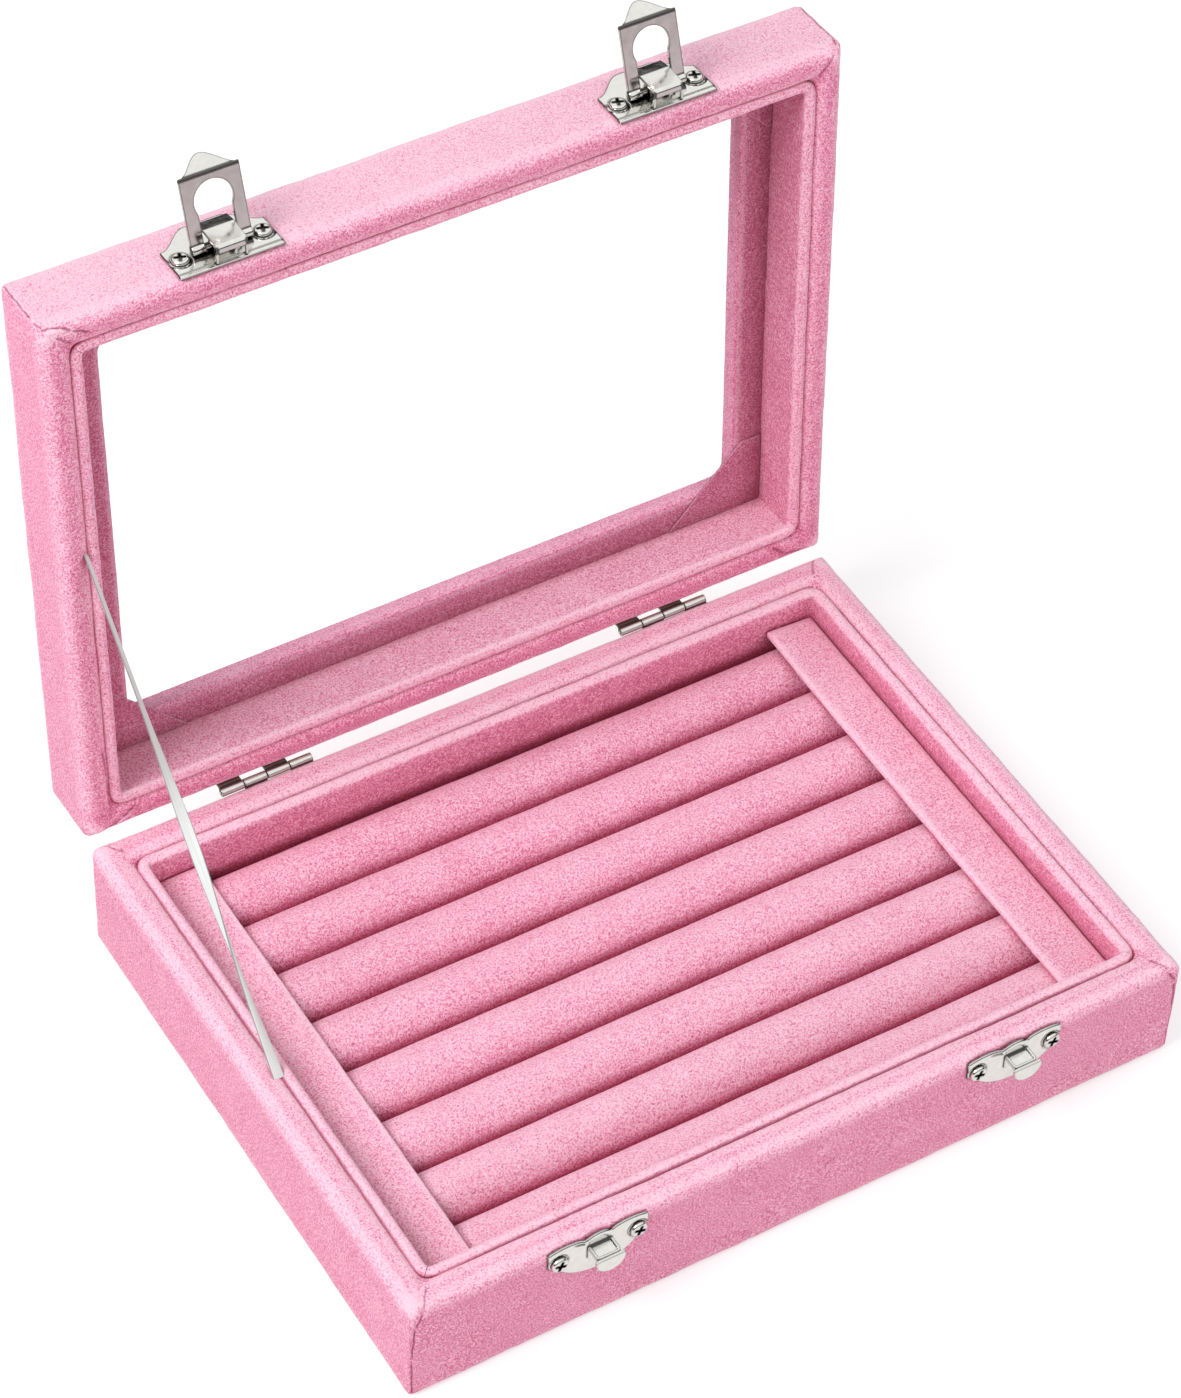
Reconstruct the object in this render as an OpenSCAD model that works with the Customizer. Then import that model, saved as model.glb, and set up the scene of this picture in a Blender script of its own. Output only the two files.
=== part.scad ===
// Velvet-covered ring box with a glass lid, shown standing open.
// Millimetres. The origin is the centre of the underside, +X runs along the hinges and +Y
// points to the back. Lid and latch pieces are drawn for a shut box, then swung open.

/* [Box] */
// Width, along the hinges
box_w = 200; // [180:1:260]
// Depth, front to back
box_d = 150; // [130:1:200]
// Height of the base, up to its rim
base_h = 30; // [28:0.5:60]
// Height of the lid, from its rim to its top
lid_h = 20; // [18:0.5:40]
// Thickness of a padded outer wall
wall_t = 7.5; // [6.5:0.25:12]
// Gap between the two rims when the lid is shut
lid_gap = 0.3; // [0.2:0.05:1]
// Angle of the lid from shut, held by the ribbon stay
lid_open = 93.4; // [60:0.2:100]

/* [Covering] */
// Rounding of the outer edge of each rim
rim_round_out = 2.8; // [1:0.1:3]
// Rounding of the inner edge of each rim
rim_round_in = 1.6; // [0.5:0.1:2]
// Rounding of the bottom edge of the base
bottom_round = 0.8; // [0.4:0.1:2]
// Rounding of the top edge of the lid
top_round = 2; // [0.5:0.1:2.3]
// Rounding of the upright corners
corner_round = 1.8; // [0.5:0.1:4]

/* [Liners] */
// Thickness of a wrapped liner strip
liner_t = 2.3; // [1.8:0.1:4]
// Rounding of the rim edges of a liner strip
liner_round = 1.1; // [0.4:0.05:0.85]
// Depth of a liner's rim edge below the rim
liner_drop = 0.3; // [0.1:0.05:1]

/* [Ring tray] */
// Thickness of the bottom board
bottom_t = 3; // [2:0.25:5]
// Thickness of the card that carries the ring rolls
card_t = 1.2; // [0.6:0.1:2]
// Number of ring rolls
roll_count = 8; // [7:1:10]
// Gap between neighbouring rolls
roll_gap = 0.1; // [0.05:0.05:0.5]
// Depth of the flat that each roll stands on
roll_flat = 0.2; // [0.1:0.05:0.5]
// Width of an end board
board_w = 12.8; // [10:0.2:20]
// Thickness of an end board
board_t = 1.8; // [1.2:0.1:2.6]
// Rounding of the long edges of an end board
board_round = 0.6; // [0.2:0.1:0.6]
// Clearance of an end board over the rolls
board_gap = 0.05; // [0.02:0.01:0.2]
// Clearance of a loose insert from what it fits into
insert_gap = 0.2; // [0.1:0.05:0.4]

/* [Window] */
// Thickness of the wrapped inner window frame
window_frame_t = 1.5; // [1.2:0.1:3]
// Thickness of the velvet gussets over its corners
gusset_t = 0.4; // [0.2:0.1:0.8]
// Length of a gusset along the front or the back of the lid
gusset_w = 26; // [24:0.5:40]
// Length of a gusset along a side of the lid
gusset_d = 23; // [18:0.5:30]
// Thickness of the glass
glass_t = 1.8; // [1.5:0.1:3]
// Thickness of the outer top board
top_board_t = 2.4; // [1.5:0.1:4]
// Width of the border at each side of the window, from the lid's outer face
border_side = 17.6; // [14:0.2:22]
// Width of the border at the front and back of the window, from the lid's outer face
border_end = 17.6; // [14:0.2:20]
// Rounding of the window's corners
window_round = 4; // [1:0.5:6]

/* [Hinges] */
// Distance of each hinge and each latch from the middle of the box
fitting_x = 54; // [40:1:70]
// Length of a hinge along its pin
hinge_w = 24; // [20:1:36]
// Height of one hinge leaf, from the pin
leaf_h = 9; // [8:0.5:14]
// Thickness of a hinge leaf
leaf_t = 0.7; // [0.5:0.05:1]
// Distance of a leaf's plain edge from the pin, between its knuckles
leaf_edge = 2.8; // [2:0.1:3.5]
// Outer diameter of the hinge barrel
barrel_d = 2.2; // [2:0.1:3]
// Diameter of the hinge pin
pin_d = 1; // [0.8:0.05:1.2]
// Radial clearance of the pin in the knuckles
pin_clearance = 0.05; // [0.02:0.01:0.1]
// Number of knuckles along one hinge
knuckle_count = 4; // [4:2:8]
// Gap between neighbouring knuckles
knuckle_gap = 0.2; // [0.1:0.05:0.4]
// Distance of each hinge nail from the middle of its leaf
nail_x = 6; // [4:0.5:8]
// Head diameter of a hinge nail
nail_head_d = 2.6; // [2:0.1:3]
// Head height of a hinge nail
nail_head_h = 0.5; // [0.3:0.1:1]
// Shank diameter of a hinge nail
nail_shank_d = 1.2; // [0.8:0.1:1.5]
// Shank length of a hinge nail, from under its head
nail_len = 5; // [4:0.5:6]

/* [Screws] */
// Head diameter of a latch or catch screw
screw_head_d = 4.2; // [3:0.1:4.4]
// Head height of a latch or catch screw
screw_head_h = 0.9; // [0.5:0.1:1.2]
// Shank diameter of a latch or catch screw
screw_shank_d = 1.8; // [1.2:0.1:2.2]
// Shank length of a latch or catch screw, from under its head
screw_len = 6; // [4:0.5:6.5]
// Radial clearance of a shank in its plate and in the wood
shank_clearance = 0.1; // [0.05:0.01:0.2]

/* [Latches] */
// Thickness of the latch and catch plates
plate_t = 0.8; // [0.5:0.1:1.2]
// Width of a latch or catch plate
plate_w = 25; // [24.5:0.5:32]
// Distance of each screw from the middle of its plate
screw_x = 9.9; // [9.8:0.1:10.4]
// Inset of both plates from the rims
plate_inset = 0.5; // [0.2:0.1:1.5]
// Height of the latch plate's top above the rim at its ends
latch_side_h = 10.6; // [9.5:0.2:12]
// Height of the latch plate's top above the rim at its middle
latch_mid_h = 16.2; // [13:0.2:17]
// Half width of the flat at the top of the latch plate
latch_flat = 4; // [2:0.5:6]
// Height of the latch screws and the hasp's pivot above the lid's rim
pivot_h = 6; // [5.6:0.1:7]
// Thickness of the hasp and of the bridge over its pivot
strap_t = 0.7; // [0.5:0.05:1]
// Width of the bridge
bridge_w = 7.2; // [6:0.1:7.4]
// Height of the bridge's front edge above the plate
bridge_front_h = 4.9; // [4.5:0.1:6]
// Height of the bridge's back bend above the plate
bridge_back_h = 3.8; // [3.6:0.1:4.5]
// Drop of the bridge's front lip
bridge_lip = 1.8; // [1:0.1:2.4]
// Distance of the bridge's front edge from the pivot
bridge_front = 4.7; // [3:0.1:5]
// Distance of the bridge's back bend from the pivot
bridge_back = 4.2; // [3:0.1:5]
// Distance of the bridge's foot from the pivot
bridge_foot = 5.8; // [5.2:0.1:6.5]
// Width of each post and each ear under the bridge
ear_t = 0.8; // [0.5:0.1:1.2]
// Outer diameter of an ear round the pivot pin
ear_d = 3; // [2.4:0.1:3.4]
// Distance between the outer faces of the two ears
ear_span = 5; // [4:0.1:5.4]

/* [Hasps] */
// Outer width of the hasp
hasp_w = 14.4; // [13:0.1:15]
// Length of the hasp from its pivot to the bend of its finger tab
hasp_len = 16.2; // [15.8:0.1:20]
// Diameter of the rolled barrel of each leg
roll_barrel_d = 2.4; // [2:0.1:2.8]
// Diameter of the pivot pin between the legs
pivot_d = 1.6; // [1.2:0.1:1.8]
// Radial clearance of the pivot pin in the ears
pivot_clearance = 0.05; // [0.02:0.01:0.1]
// Clearance of the rolled barrel over the latch plate
hasp_clearance = 0.1; // [0.05:0.05:0.3]
// Diameter of the hasp's round opening
opening_d = 9.3; // [8.8:0.1:10.4]
// Width of the slot between the hasp's legs
slot_w = 8.2; // [8:0.1:8.8]
// Width of the bar between the opening and the finger tab
hasp_bar = 1.7; // [1.2:0.1:1.8]
// Length of the finger tab
tab_len = 5; // [3:0.5:8]
// Bend of the finger tab out of the hasp
tab_bend = 56; // [30:1:80]
// Angle of the hasp from latched, as the box is shown
hasp_open = 106; // [60:1:150]

/* [Catches] */
// Depth of the catch plate at its ends
catch_side_h = 5.5; // [5.5:0.1:7]
// Depth of the catch plate where its belly meets its wings
catch_wing_h = 7.2; // [7.2:0.1:8]
// Depth of the catch plate at its middle
catch_mid_h = 11.7; // [11:0.1:14]
// Width of the round belly of the catch plate
belly_w = 19.8; // [18:0.2:22]
// Width of the hump between the notches of the top edge
hump_w = 6.8; // [5:0.2:8]
// Rise of the hump above the wings
hump_rise = 0.4; // [0.1:0.1:0.4]
// Depth of the notches between the hump and the wings
notch_depth = 0.8; // [0.4:0.1:1.2]
// Depth of the catch screws below the top of the wings
catch_screw_drop = 4.4; // [3.6:0.1:4.8]
// Width of the hook's ledge
hook_w = 6.2; // [5:0.1:6.6]
// Reach of the hook in front of the wall
hook_reach = 5.3; // [4.5:0.1:5.6]
// Depth of the hook's ledge below the top of the wings
hook_drop = 2.4; // [2:0.1:3]
// Width of the hook's round tongue
tongue_w = 7.4; // [6.8:0.1:7.8]
// Length of the tongue, from the top of the ledge to its tip
tongue_len = 4.4; // [4:0.1:4.6]

/* [Ribbon stay] */
// Width of the ribbon
ribbon_w = 3; // [2:0.5:8]
// Thickness of the ribbon
ribbon_t = 0.3; // [0.2:0.05:0.3]
// Distance of the ribbon's foot in front of the middle of the base
ribbon_foot = 5; // [0:0.2:30]
// Distance of the ribbon's head from the hinges, along the lid
ribbon_head = 86.4; // [60:0.2:110]
// Depth of the ribbon's ends below the rims
ribbon_tuck = 0.55; // [0.4:0.05:0.7]

/* [Hidden] */
$fn = 48;
over = 1;
curve_steps = 24;

VELVET = "#e79ab8";
LINER = "#eeb0c8";
CARD = "#d9c3cb";
NICKEL = "#c9ccce";
SATIN = "#f6f2ef";
GLASS = "#dfeef080";

inner_w = box_w - 2 * wall_t;
inner_d = box_d - 2 * wall_t;
well_w = inner_w - 2 * liner_t;
well_d = inner_d - 2 * liner_t;
tray_z = bottom_t + card_t;
roll_pitch = well_d / roll_count;
roll_d = roll_pitch - roll_gap;
roll_z = tray_z - roll_flat + roll_d / 2;
board_z = roll_z + roll_d / 2 + board_gap;

lid_z = base_h + lid_gap;
glass_z = lid_z + lid_h - top_board_t - glass_t;
window_frame_z = glass_z - window_frame_t;
window_w = box_w - 2 * border_side;
window_d = box_d - 2 * border_end;

hinge_y = (box_d + barrel_d) / 2;
hinge_z = base_h + lid_gap / 2;
knuckle_pitch = hinge_w / knuckle_count;
nail_drop = (leaf_edge + leaf_h) / 2;

wall_y = -box_d / 2;
pivot_out = plate_t + hasp_clearance + roll_barrel_d / 2;
pivot_z = lid_z + pivot_h;
leg_w = (hasp_w - slot_w) / 2;
opening_s = hasp_len - hasp_bar - opening_d / 2;
catch_z = base_h - plate_inset;
wing_w = (plate_w - hump_w) / 2;

SIDES = [-1, 1];
SCREWS = [for (f = SIDES, s = SIDES) f * fitting_x + s * screw_x];
NAILS = [for (f = SIDES, s = SIDES) f * fitting_x + s * nail_x];

// Radius of the arc over a chord of width w with a sagitta of h
function arc_radius(w, h) = (w * w / 4 + h * h) / (2 * h);

// Rise of an ogee edge at x: h over a middle flat, falling to nothing at half_w
function ogee(x, half_w, h, flat = 0) =
    h * (1 + cos(180 * max(abs(x) - flat, 0) / (half_w - flat))) / 2;

// A point of the shut lid, as [y, z], swung open about the hinges
function swung(y, z) = let (dy = y - hinge_y, dz = z - hinge_z)
    [hinge_y, hinge_z] + [dy * cos(lid_open) + dz * sin(lid_open), dz * cos(lid_open) - dy * sin(lid_open)];

// ---- Outlines ----

// What a rounding of radius r takes off a corner that lies at the origin
module corner_waste(r) {
    difference() {
        translate([-over, -over]) square(r + over);
        translate([r, r]) circle(r);
    }
}

// A w x h rectangle from the origin; r gives the rounding of its lower left, lower right,
// upper right and upper left corners, where 0 is sharp
module rounded_rect(w, h, r) {
    difference() {
        square([w, h]);
        if (r[0] > 0) corner_waste(r[0]);
        if (r[1] > 0) translate([w, 0]) rotate(90) corner_waste(r[1]);
        if (r[2] > 0) translate([w, h]) rotate(180) corner_waste(r[2]);
        if (r[3] > 0) translate([0, h]) rotate(270) corner_waste(r[3]);
    }
}

// An upright block about the Z axis with rounded corners
module block(w, d, h, r) {
    translate([-w / 2, -d / 2, 0]) linear_extrude(h) rounded_rect(w, d, [r, r, r, r]);
}

// One mitred side of a w x d frame, t deep: 0 is the front, 1 the right, 2 the back and 3 the
// left. The child is its section, with x running inwards from the outer face.
module frame_side(side, w, d, t) {
    along = side % 2 == 0 ? w : d;
    across = side % 2 == 0 ? d : w;
    far = base_h + lid_h;
    rotate(90 * side) translate([0, -across / 2, 0]) intersection() {
        translate([-along / 2, 0, 0]) rotate([90, 0, 90]) linear_extrude(along) children();
        translate([0, 0, -far]) linear_extrude(3 * far)
            polygon([[-along / 2, 0], [along / 2, 0], [along / 2 - t, t], [t - along / 2, t]]);
    }
}

// The section of a sheet of thickness t bent along a line of points
module bent_sheet(points, t) {
    for (i = [1 : len(points) - 1]) {
        run = points[i] - points[i - 1];
        translate(points[i - 1]) rotate(atan2(run[1], run[0])) translate([0, -t / 2])
            square([norm(run), t]);
        if (i > 1) translate(points[i - 1]) circle(d = t);
    }
}

// ---- Fasteners ----

// A domed head with its shank, driven along +Y into a plate whose face lies at the origin
module fastener(head_d, head_h, shank_d, len) {
    dome_r = arc_radius(head_d, head_h);
    rotate([90, 0, 0]) {
        intersection() {
            translate([0, 0, head_h - dome_r]) sphere(dome_r);
            translate([-head_d, -head_d, 0]) cube([2 * head_d, 2 * head_d, head_d]);
        }
        translate([0, 0, -len]) cylinder(d = shank_d, h = len + head_h / 2);
    }
}

// The holes for a row of fasteners, bored along +Y from in front of a plate at the origin
module bores(places, shank_d, len) {
    for (x = places)
        translate([x, -over, 0]) rotate([-90, 0, 0])
            cylinder(d = shank_d + 2 * shank_clearance, h = len + over + shank_clearance);
}

module screw() { fastener(screw_head_d, screw_head_h, screw_shank_d, screw_len); }
module nail() { fastener(nail_head_d, nail_head_h, nail_shank_d, nail_len); }

// ---- Base ----

module base_frame() {
    color(VELVET) difference() {
        intersection() {
            for (side = [0 : 3]) frame_side(side, box_w, box_d, wall_t)
                rounded_rect(wall_t, base_h, [bottom_round, 0, rim_round_in, rim_round_out]);
            block(box_w, box_d, base_h, corner_round);
        }
        translate([0, wall_y, catch_z - catch_screw_drop])
            bores(SCREWS, screw_shank_d, screw_len - plate_t);
        translate([0, -wall_y, hinge_z - nail_drop]) rotate(180)
            bores(NAILS, nail_shank_d, nail_len - leaf_t);
    }
}

module bottom_board() {
    color(CARD) translate([-inner_w / 2, -inner_d / 2, 0]) cube([inner_w, inner_d, bottom_t]);
}

module tray_card() {
    w = inner_w - 2 * insert_gap;
    d = inner_d - 2 * insert_gap;
    color(CARD) translate([-w / 2, -d / 2, bottom_t]) cube([w, d, card_t]);
}

module base_liner(side) {
    h = base_h - liner_drop - tray_z;
    color(LINER) translate([0, 0, tray_z]) frame_side(side, inner_w, inner_d, liner_t)
        rounded_rect(liner_t, h, [0, 0, liner_round, liner_round]);
}

module ring_roll(i) {
    len = well_w - 2 * insert_gap;
    y = (i - (roll_count + 1) / 2) * roll_pitch;
    color(VELVET) intersection() {
        translate([-len / 2, y, roll_z]) rotate([0, 90, 0]) cylinder(d = roll_d, h = len);
        translate([-len, y - roll_d, tray_z]) cube([2 * len, 2 * roll_d, 2 * roll_d]);
    }
}

module end_board(side) {
    len = well_d - 2 * insert_gap;
    x = side * (well_w / 2 - insert_gap - board_w / 2) - board_w / 2;
    r = board_round;
    color(LINER) translate([x, len / 2, board_z]) rotate([90, 0, 0]) linear_extrude(len)
        rounded_rect(board_w, board_t, [r, r, r, r]);
}

// ---- Hinges ----

// The half of a hinge that carries every second knuckle, for knuckles whose number is odd when
// parity is 1. The leaf stands below the pin; the lid's leaf is this one mirrored upwards.
module hinge_leaf(parity) {
    knuckle_w = knuckle_pitch - knuckle_gap;
    difference() {
        union() {
            translate([-hinge_w / 2, 0, -leaf_h]) cube([hinge_w, leaf_t, leaf_h - leaf_edge]);
            for (i = [parity : 2 : knuckle_count - 1])
                translate([i * knuckle_pitch - (hinge_w - knuckle_gap) / 2, 0, 0]) {
                    translate([0, 0, -leaf_h]) cube([knuckle_w, leaf_t, leaf_h]);
                    translate([0, barrel_d / 2, 0]) rotate([0, 90, 0])
                        cylinder(d = barrel_d, h = knuckle_w);
                }
        }
        translate([-hinge_w, barrel_d / 2, 0]) rotate([0, 90, 0])
            cylinder(d = pin_d + 2 * pin_clearance, h = 2 * hinge_w);
        translate([0, leaf_t, -nail_drop]) rotate(180) bores([-nail_x, nail_x], nail_shank_d, nail_len);
    }
}

module hinge_base_leaf(side) {
    color(NICKEL) translate([side * fitting_x, -wall_y, hinge_z]) hinge_leaf(1);
}

module hinge_lid_leaf(side) {
    color(NICKEL) translate([side * fitting_x, -wall_y, hinge_z]) mirror([0, 0, 1]) hinge_leaf(0);
}

module hinge_pin(side) {
    color(NICKEL) translate([side * fitting_x - hinge_w / 2, hinge_y, hinge_z]) rotate([0, 90, 0])
        cylinder(d = pin_d, h = hinge_w);
}

// Nail i of the row above or below the pins
module hinge_nail(i, z) {
    color(NICKEL) translate([NAILS[i - 1], -wall_y + leaf_t, z]) rotate(180) nail();
}

// ---- Catches ----

// Points along an arc of width w about x, from left to right without the last one; the
// arc's crown is at y = top and its ends are sag below
function scallop(x, w, top, sag) = let (r = arc_radius(w, sag))
    [for (i = [0 : curve_steps - 1]) let (u = w * (i / curve_steps - 1 / 2))
        [x + u, top - r + sqrt(r * r - u * u)]];

// The catch plate's outline, with the crowns of its wings at y = 0
module catch_outline() {
    half = plate_w / 2;
    wing_x = (hump_w + wing_w) / 2;
    polygon(concat(
        scallop(-wing_x, wing_w, 0, notch_depth),
        scallop(0, hump_w, hump_rise, hump_rise + notch_depth),
        scallop(wing_x, wing_w, 0, notch_depth),
        [[half, -notch_depth], [half, -catch_side_h]],
        [for (p = scallop(0, belly_w, catch_mid_h, catch_mid_h - catch_wing_h)) -p],
        [[-belly_w / 2, -catch_wing_h], [-half, -catch_side_h]]
    ));
}

module catch_plate(side) {
    color(NICKEL) translate([side * fitting_x, wall_y, catch_z]) {
        difference() {
            rotate([90, 0, 0]) linear_extrude(plate_t) catch_outline();
            translate([0, -plate_t, -catch_screw_drop])
                bores([-screw_x, screw_x], screw_shank_d, screw_len);
        }
        translate([-hook_w / 2, -hook_reach, -hook_drop - plate_t]) cube([hook_w, hook_reach, plate_t]);
        translate([0, plate_t - hook_reach, -hook_drop - tongue_len]) rotate([90, 0, 0])
            linear_extrude(plate_t) intersection() {
                translate([0, tongue_w / 2]) circle(d = tongue_w);
                translate([-tongue_w / 2, 0]) square([tongue_w, tongue_len]);
            }
    }
}

module catch_screw(i) {
    color(NICKEL) translate([SCREWS[i - 1], wall_y - plate_t, catch_z - catch_screw_drop]) screw();
}

// ---- Lid, drawn shut ----

module window_hole(z, h) {
    translate([0, 0, z]) block(window_w, window_d, h, window_round);
}

module lid_frame() {
    board_z = lid_z + lid_h - top_board_t;
    color(VELVET) difference() {
        intersection() {
            union() {
                translate([0, 0, lid_z]) for (side = [0 : 3]) frame_side(side, box_w, box_d, wall_t)
                    rounded_rect(wall_t, lid_h, [rim_round_out, rim_round_in, 0, top_round]);
                translate([-inner_w / 2, -inner_d / 2, board_z]) cube([inner_w, inner_d, top_board_t]);
            }
            translate([0, 0, lid_z]) block(box_w, box_d, lid_h, corner_round);
        }
        window_hole(board_z - over, top_board_t + 2 * over);
        translate([0, wall_y, pivot_z]) bores(SCREWS, screw_shank_d, screw_len - plate_t);
        translate([0, -wall_y, hinge_z + nail_drop]) rotate(180)
            bores(NAILS, nail_shank_d, nail_len - leaf_t);
    }
}

module glass_pane() {
    w = inner_w - 2 * insert_gap;
    d = inner_d - 2 * insert_gap;
    color(GLASS) translate([-w / 2, -d / 2, glass_z]) cube([w, d, glass_t]);
}

module window_frame() {
    w = inner_w - 2 * insert_gap;
    d = inner_d - 2 * insert_gap;
    color(VELVET) difference() {
        translate([-w / 2, -d / 2, window_frame_z]) cube([w, d, window_frame_t]);
        window_hole(window_frame_z - over, window_frame_t + 2 * over);
    }
}

// The gussets span the window's corners: 1 front left, 2 front right, 3 back right, 4 back left
module corner_gusset(i) {
    x = (i == 1 || i == 4 ? -1 : 1) * (well_w / 2 - insert_gap);
    y = (i < 3 ? -1 : 1) * (well_d / 2 - insert_gap);
    z = window_frame_z - gusset_t;
    color(LINER) translate([0, 0, z]) linear_extrude(gusset_t)
        polygon([[x, y], [x - sign(x) * gusset_w, y], [x, y - sign(y) * gusset_d]]);
}

module lid_liner(side) {
    h = window_frame_z - lid_z - liner_drop;
    color(LINER) translate([0, 0, lid_z + liner_drop]) frame_side(side, inner_w, inner_d, liner_t)
        rounded_rect(liner_t, h, [liner_round, liner_round, 0, 0]);
}

// ---- Latches, drawn on the shut lid ----

// The latch plate's outline, with the lid's rim at y = 0
module latch_outline() {
    half = plate_w / 2;
    top = [for (i = [0 : curve_steps]) let (x = half - i * plate_w / curve_steps)
        [x, latch_side_h + ogee(x, half, latch_mid_h - latch_side_h, latch_flat)]];
    polygon(concat([[-half, plate_inset], [half, plate_inset]], top));
}

// The bridge over the pivot, with its two front posts; y = 0 is the plate's face
module bridge() {
    post_h = bridge_front_h - strap_t / 2;
    path = [[-bridge_foot, 0], [-bridge_back, bridge_back_h - strap_t / 2],
        [bridge_front, post_h], [bridge_front, bridge_front_h - bridge_lip]];
    translate([-bridge_w / 2, 0, 0]) rotate([90, 90, 90]) mirror([0, 1, 0]) linear_extrude(bridge_w)
        bent_sheet(path, strap_t);
    for (s = SIDES)
        translate([s * (bridge_w - ear_t) / 2 - ear_t / 2, -post_h, -bridge_front - strap_t / 2])
            cube([ear_t, post_h, strap_t]);
}

// One ear, from the plate's face round the pivot pin
module ear() {
    axle = pivot_out - plate_t;
    rotate([0, 90, 0]) translate([0, -axle, 0]) {
        cylinder(d = ear_d, h = ear_t);
        translate([-ear_d / 2, 0, 0]) cube([ear_d, axle, ear_t]);
    }
}

module latch_plate(side) {
    color(NICKEL) translate([side * fitting_x, wall_y, lid_z]) difference() {
        union() {
            rotate([90, 0, 0]) linear_extrude(plate_t) latch_outline();
            translate([0, -plate_t, pivot_h]) bridge();
            for (s = SIDES) translate([s * (ear_span - ear_t) / 2 - ear_t / 2, -plate_t, pivot_h]) ear();
        }
        translate([-ear_span, -pivot_out, pivot_h]) rotate([0, 90, 0])
            cylinder(d = pivot_d + 2 * pivot_clearance, h = 2 * ear_span);
        translate([0, -plate_t, pivot_h]) bores([-screw_x, screw_x], screw_shank_d, screw_len);
    }
}

module latch_screw(i) {
    color(NICKEL) translate([SCREWS[i - 1], wall_y - plate_t, pivot_z]) screw();
}

// The hasp standing up from its pivot at the origin, with its finger tab bent towards +Y
module hasp_shape() {
    half = hasp_w / 2;
    tab = [for (i = [0 : curve_steps]) let (x = half - i * hasp_w / curve_steps)
        [x, ogee(x, half, tab_len)]];
    rotate([90, 0, 0]) translate([0, 0, -strap_t / 2]) linear_extrude(strap_t) difference() {
        translate([-half, 0]) square([hasp_w, hasp_len]);
        translate([0, opening_s]) circle(d = opening_d);
        translate([-slot_w / 2, -over]) square([slot_w, opening_s + over]);
    }
    for (s = SIDES)
        translate([s * (half - leg_w / 2) - leg_w / 2, 0, 0]) rotate([0, 90, 0])
            cylinder(d = roll_barrel_d, h = leg_w);
    translate([-half + leg_w / 2, 0, 0]) rotate([0, 90, 0]) cylinder(d = pivot_d, h = hasp_w - leg_w);
    translate([0, 0, hasp_len]) {
        translate([-half, 0, 0]) rotate([0, 90, 0]) cylinder(d = strap_t, h = hasp_w);
        rotate([90 - tab_bend, 0, 0]) translate([0, 0, -strap_t / 2]) linear_extrude(strap_t)
            polygon(concat([[-half, -strap_t / 4], [half, -strap_t / 4]], tab));
    }
}

module hasp(side) {
    color(NICKEL) translate([side * fitting_x, wall_y - pivot_out, pivot_z])
        rotate([180 - hasp_open, 0, 0]) hasp_shape();
}

// ---- Ribbon stay ----

// A flat ribbon in the left seam grooves, from the base's rim to the open lid's
module ribbon_stay() {
    foot = [-ribbon_foot, base_h - ribbon_tuck];
    head = swung(hinge_y - ribbon_head, lid_z + ribbon_tuck);
    rise = atan2(head[1] - foot[1], head[0] - foot[0]);
    half_foot = ribbon_w / 2 / sin(rise);
    half_head = ribbon_w / 2 / sin(180 - lid_open - rise);
    foot_run = [half_foot, 0];
    head_run = half_head * [-cos(lid_open), sin(lid_open)];
    color(SATIN) translate([-(inner_w + ribbon_t) / 2, 0, 0]) rotate([90, 0, 90]) linear_extrude(ribbon_t)
        polygon([foot - foot_run, foot + foot_run, head - head_run, head + head_run]);
}

// ---- The box, open ----

module swing() {
    translate([0, hinge_y, hinge_z]) rotate([-lid_open, 0, 0])
        translate([0, -hinge_y, -hinge_z]) children();
}

base_frame();
bottom_board();
tray_card();
base_liner(0);  // base_liner_front
base_liner(1);  // base_liner_right
base_liner(2);  // base_liner_back
base_liner(3);  // base_liner_left
for (i = [1 : roll_count])
    ring_roll(i);
end_board(-1);  // end_board_left
end_board(1);  // end_board_right
hinge_base_leaf(-1);  // hinge_base_leaf_left
hinge_base_leaf(1);  // hinge_base_leaf_right
hinge_pin(-1);  // hinge_pin_left
hinge_pin(1);  // hinge_pin_right
for (i = [1 : 4])
    hinge_nail(i, hinge_z - nail_drop);
catch_plate(-1);  // catch_plate_left
catch_plate(1);  // catch_plate_right
for (i = [1 : 4])
    catch_screw(i);
swing() lid_frame();
swing() glass_pane();
swing() window_frame();
for (i = [1 : 4])
    swing() corner_gusset(i);
swing() lid_liner(0);  // lid_liner_front
swing() lid_liner(1);  // lid_liner_right
swing() lid_liner(2);  // lid_liner_back
swing() lid_liner(3);  // lid_liner_left
swing() hinge_lid_leaf(-1);  // hinge_lid_leaf_left
swing() hinge_lid_leaf(1);  // hinge_lid_leaf_right
for (i = [1 : 4])
    swing() hinge_nail(i, hinge_z + nail_drop);
swing() latch_plate(-1);  // latch_plate_left
swing() latch_plate(1);  // latch_plate_right
for (i = [1 : 4])
    swing() latch_screw(i);
swing() hasp(-1);  // hasp_left
swing() hasp(1);  // hasp_right
ribbon_stay();
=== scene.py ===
import math

import bpy
import numpy as np
from mathutils import Matrix, Vector


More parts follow.
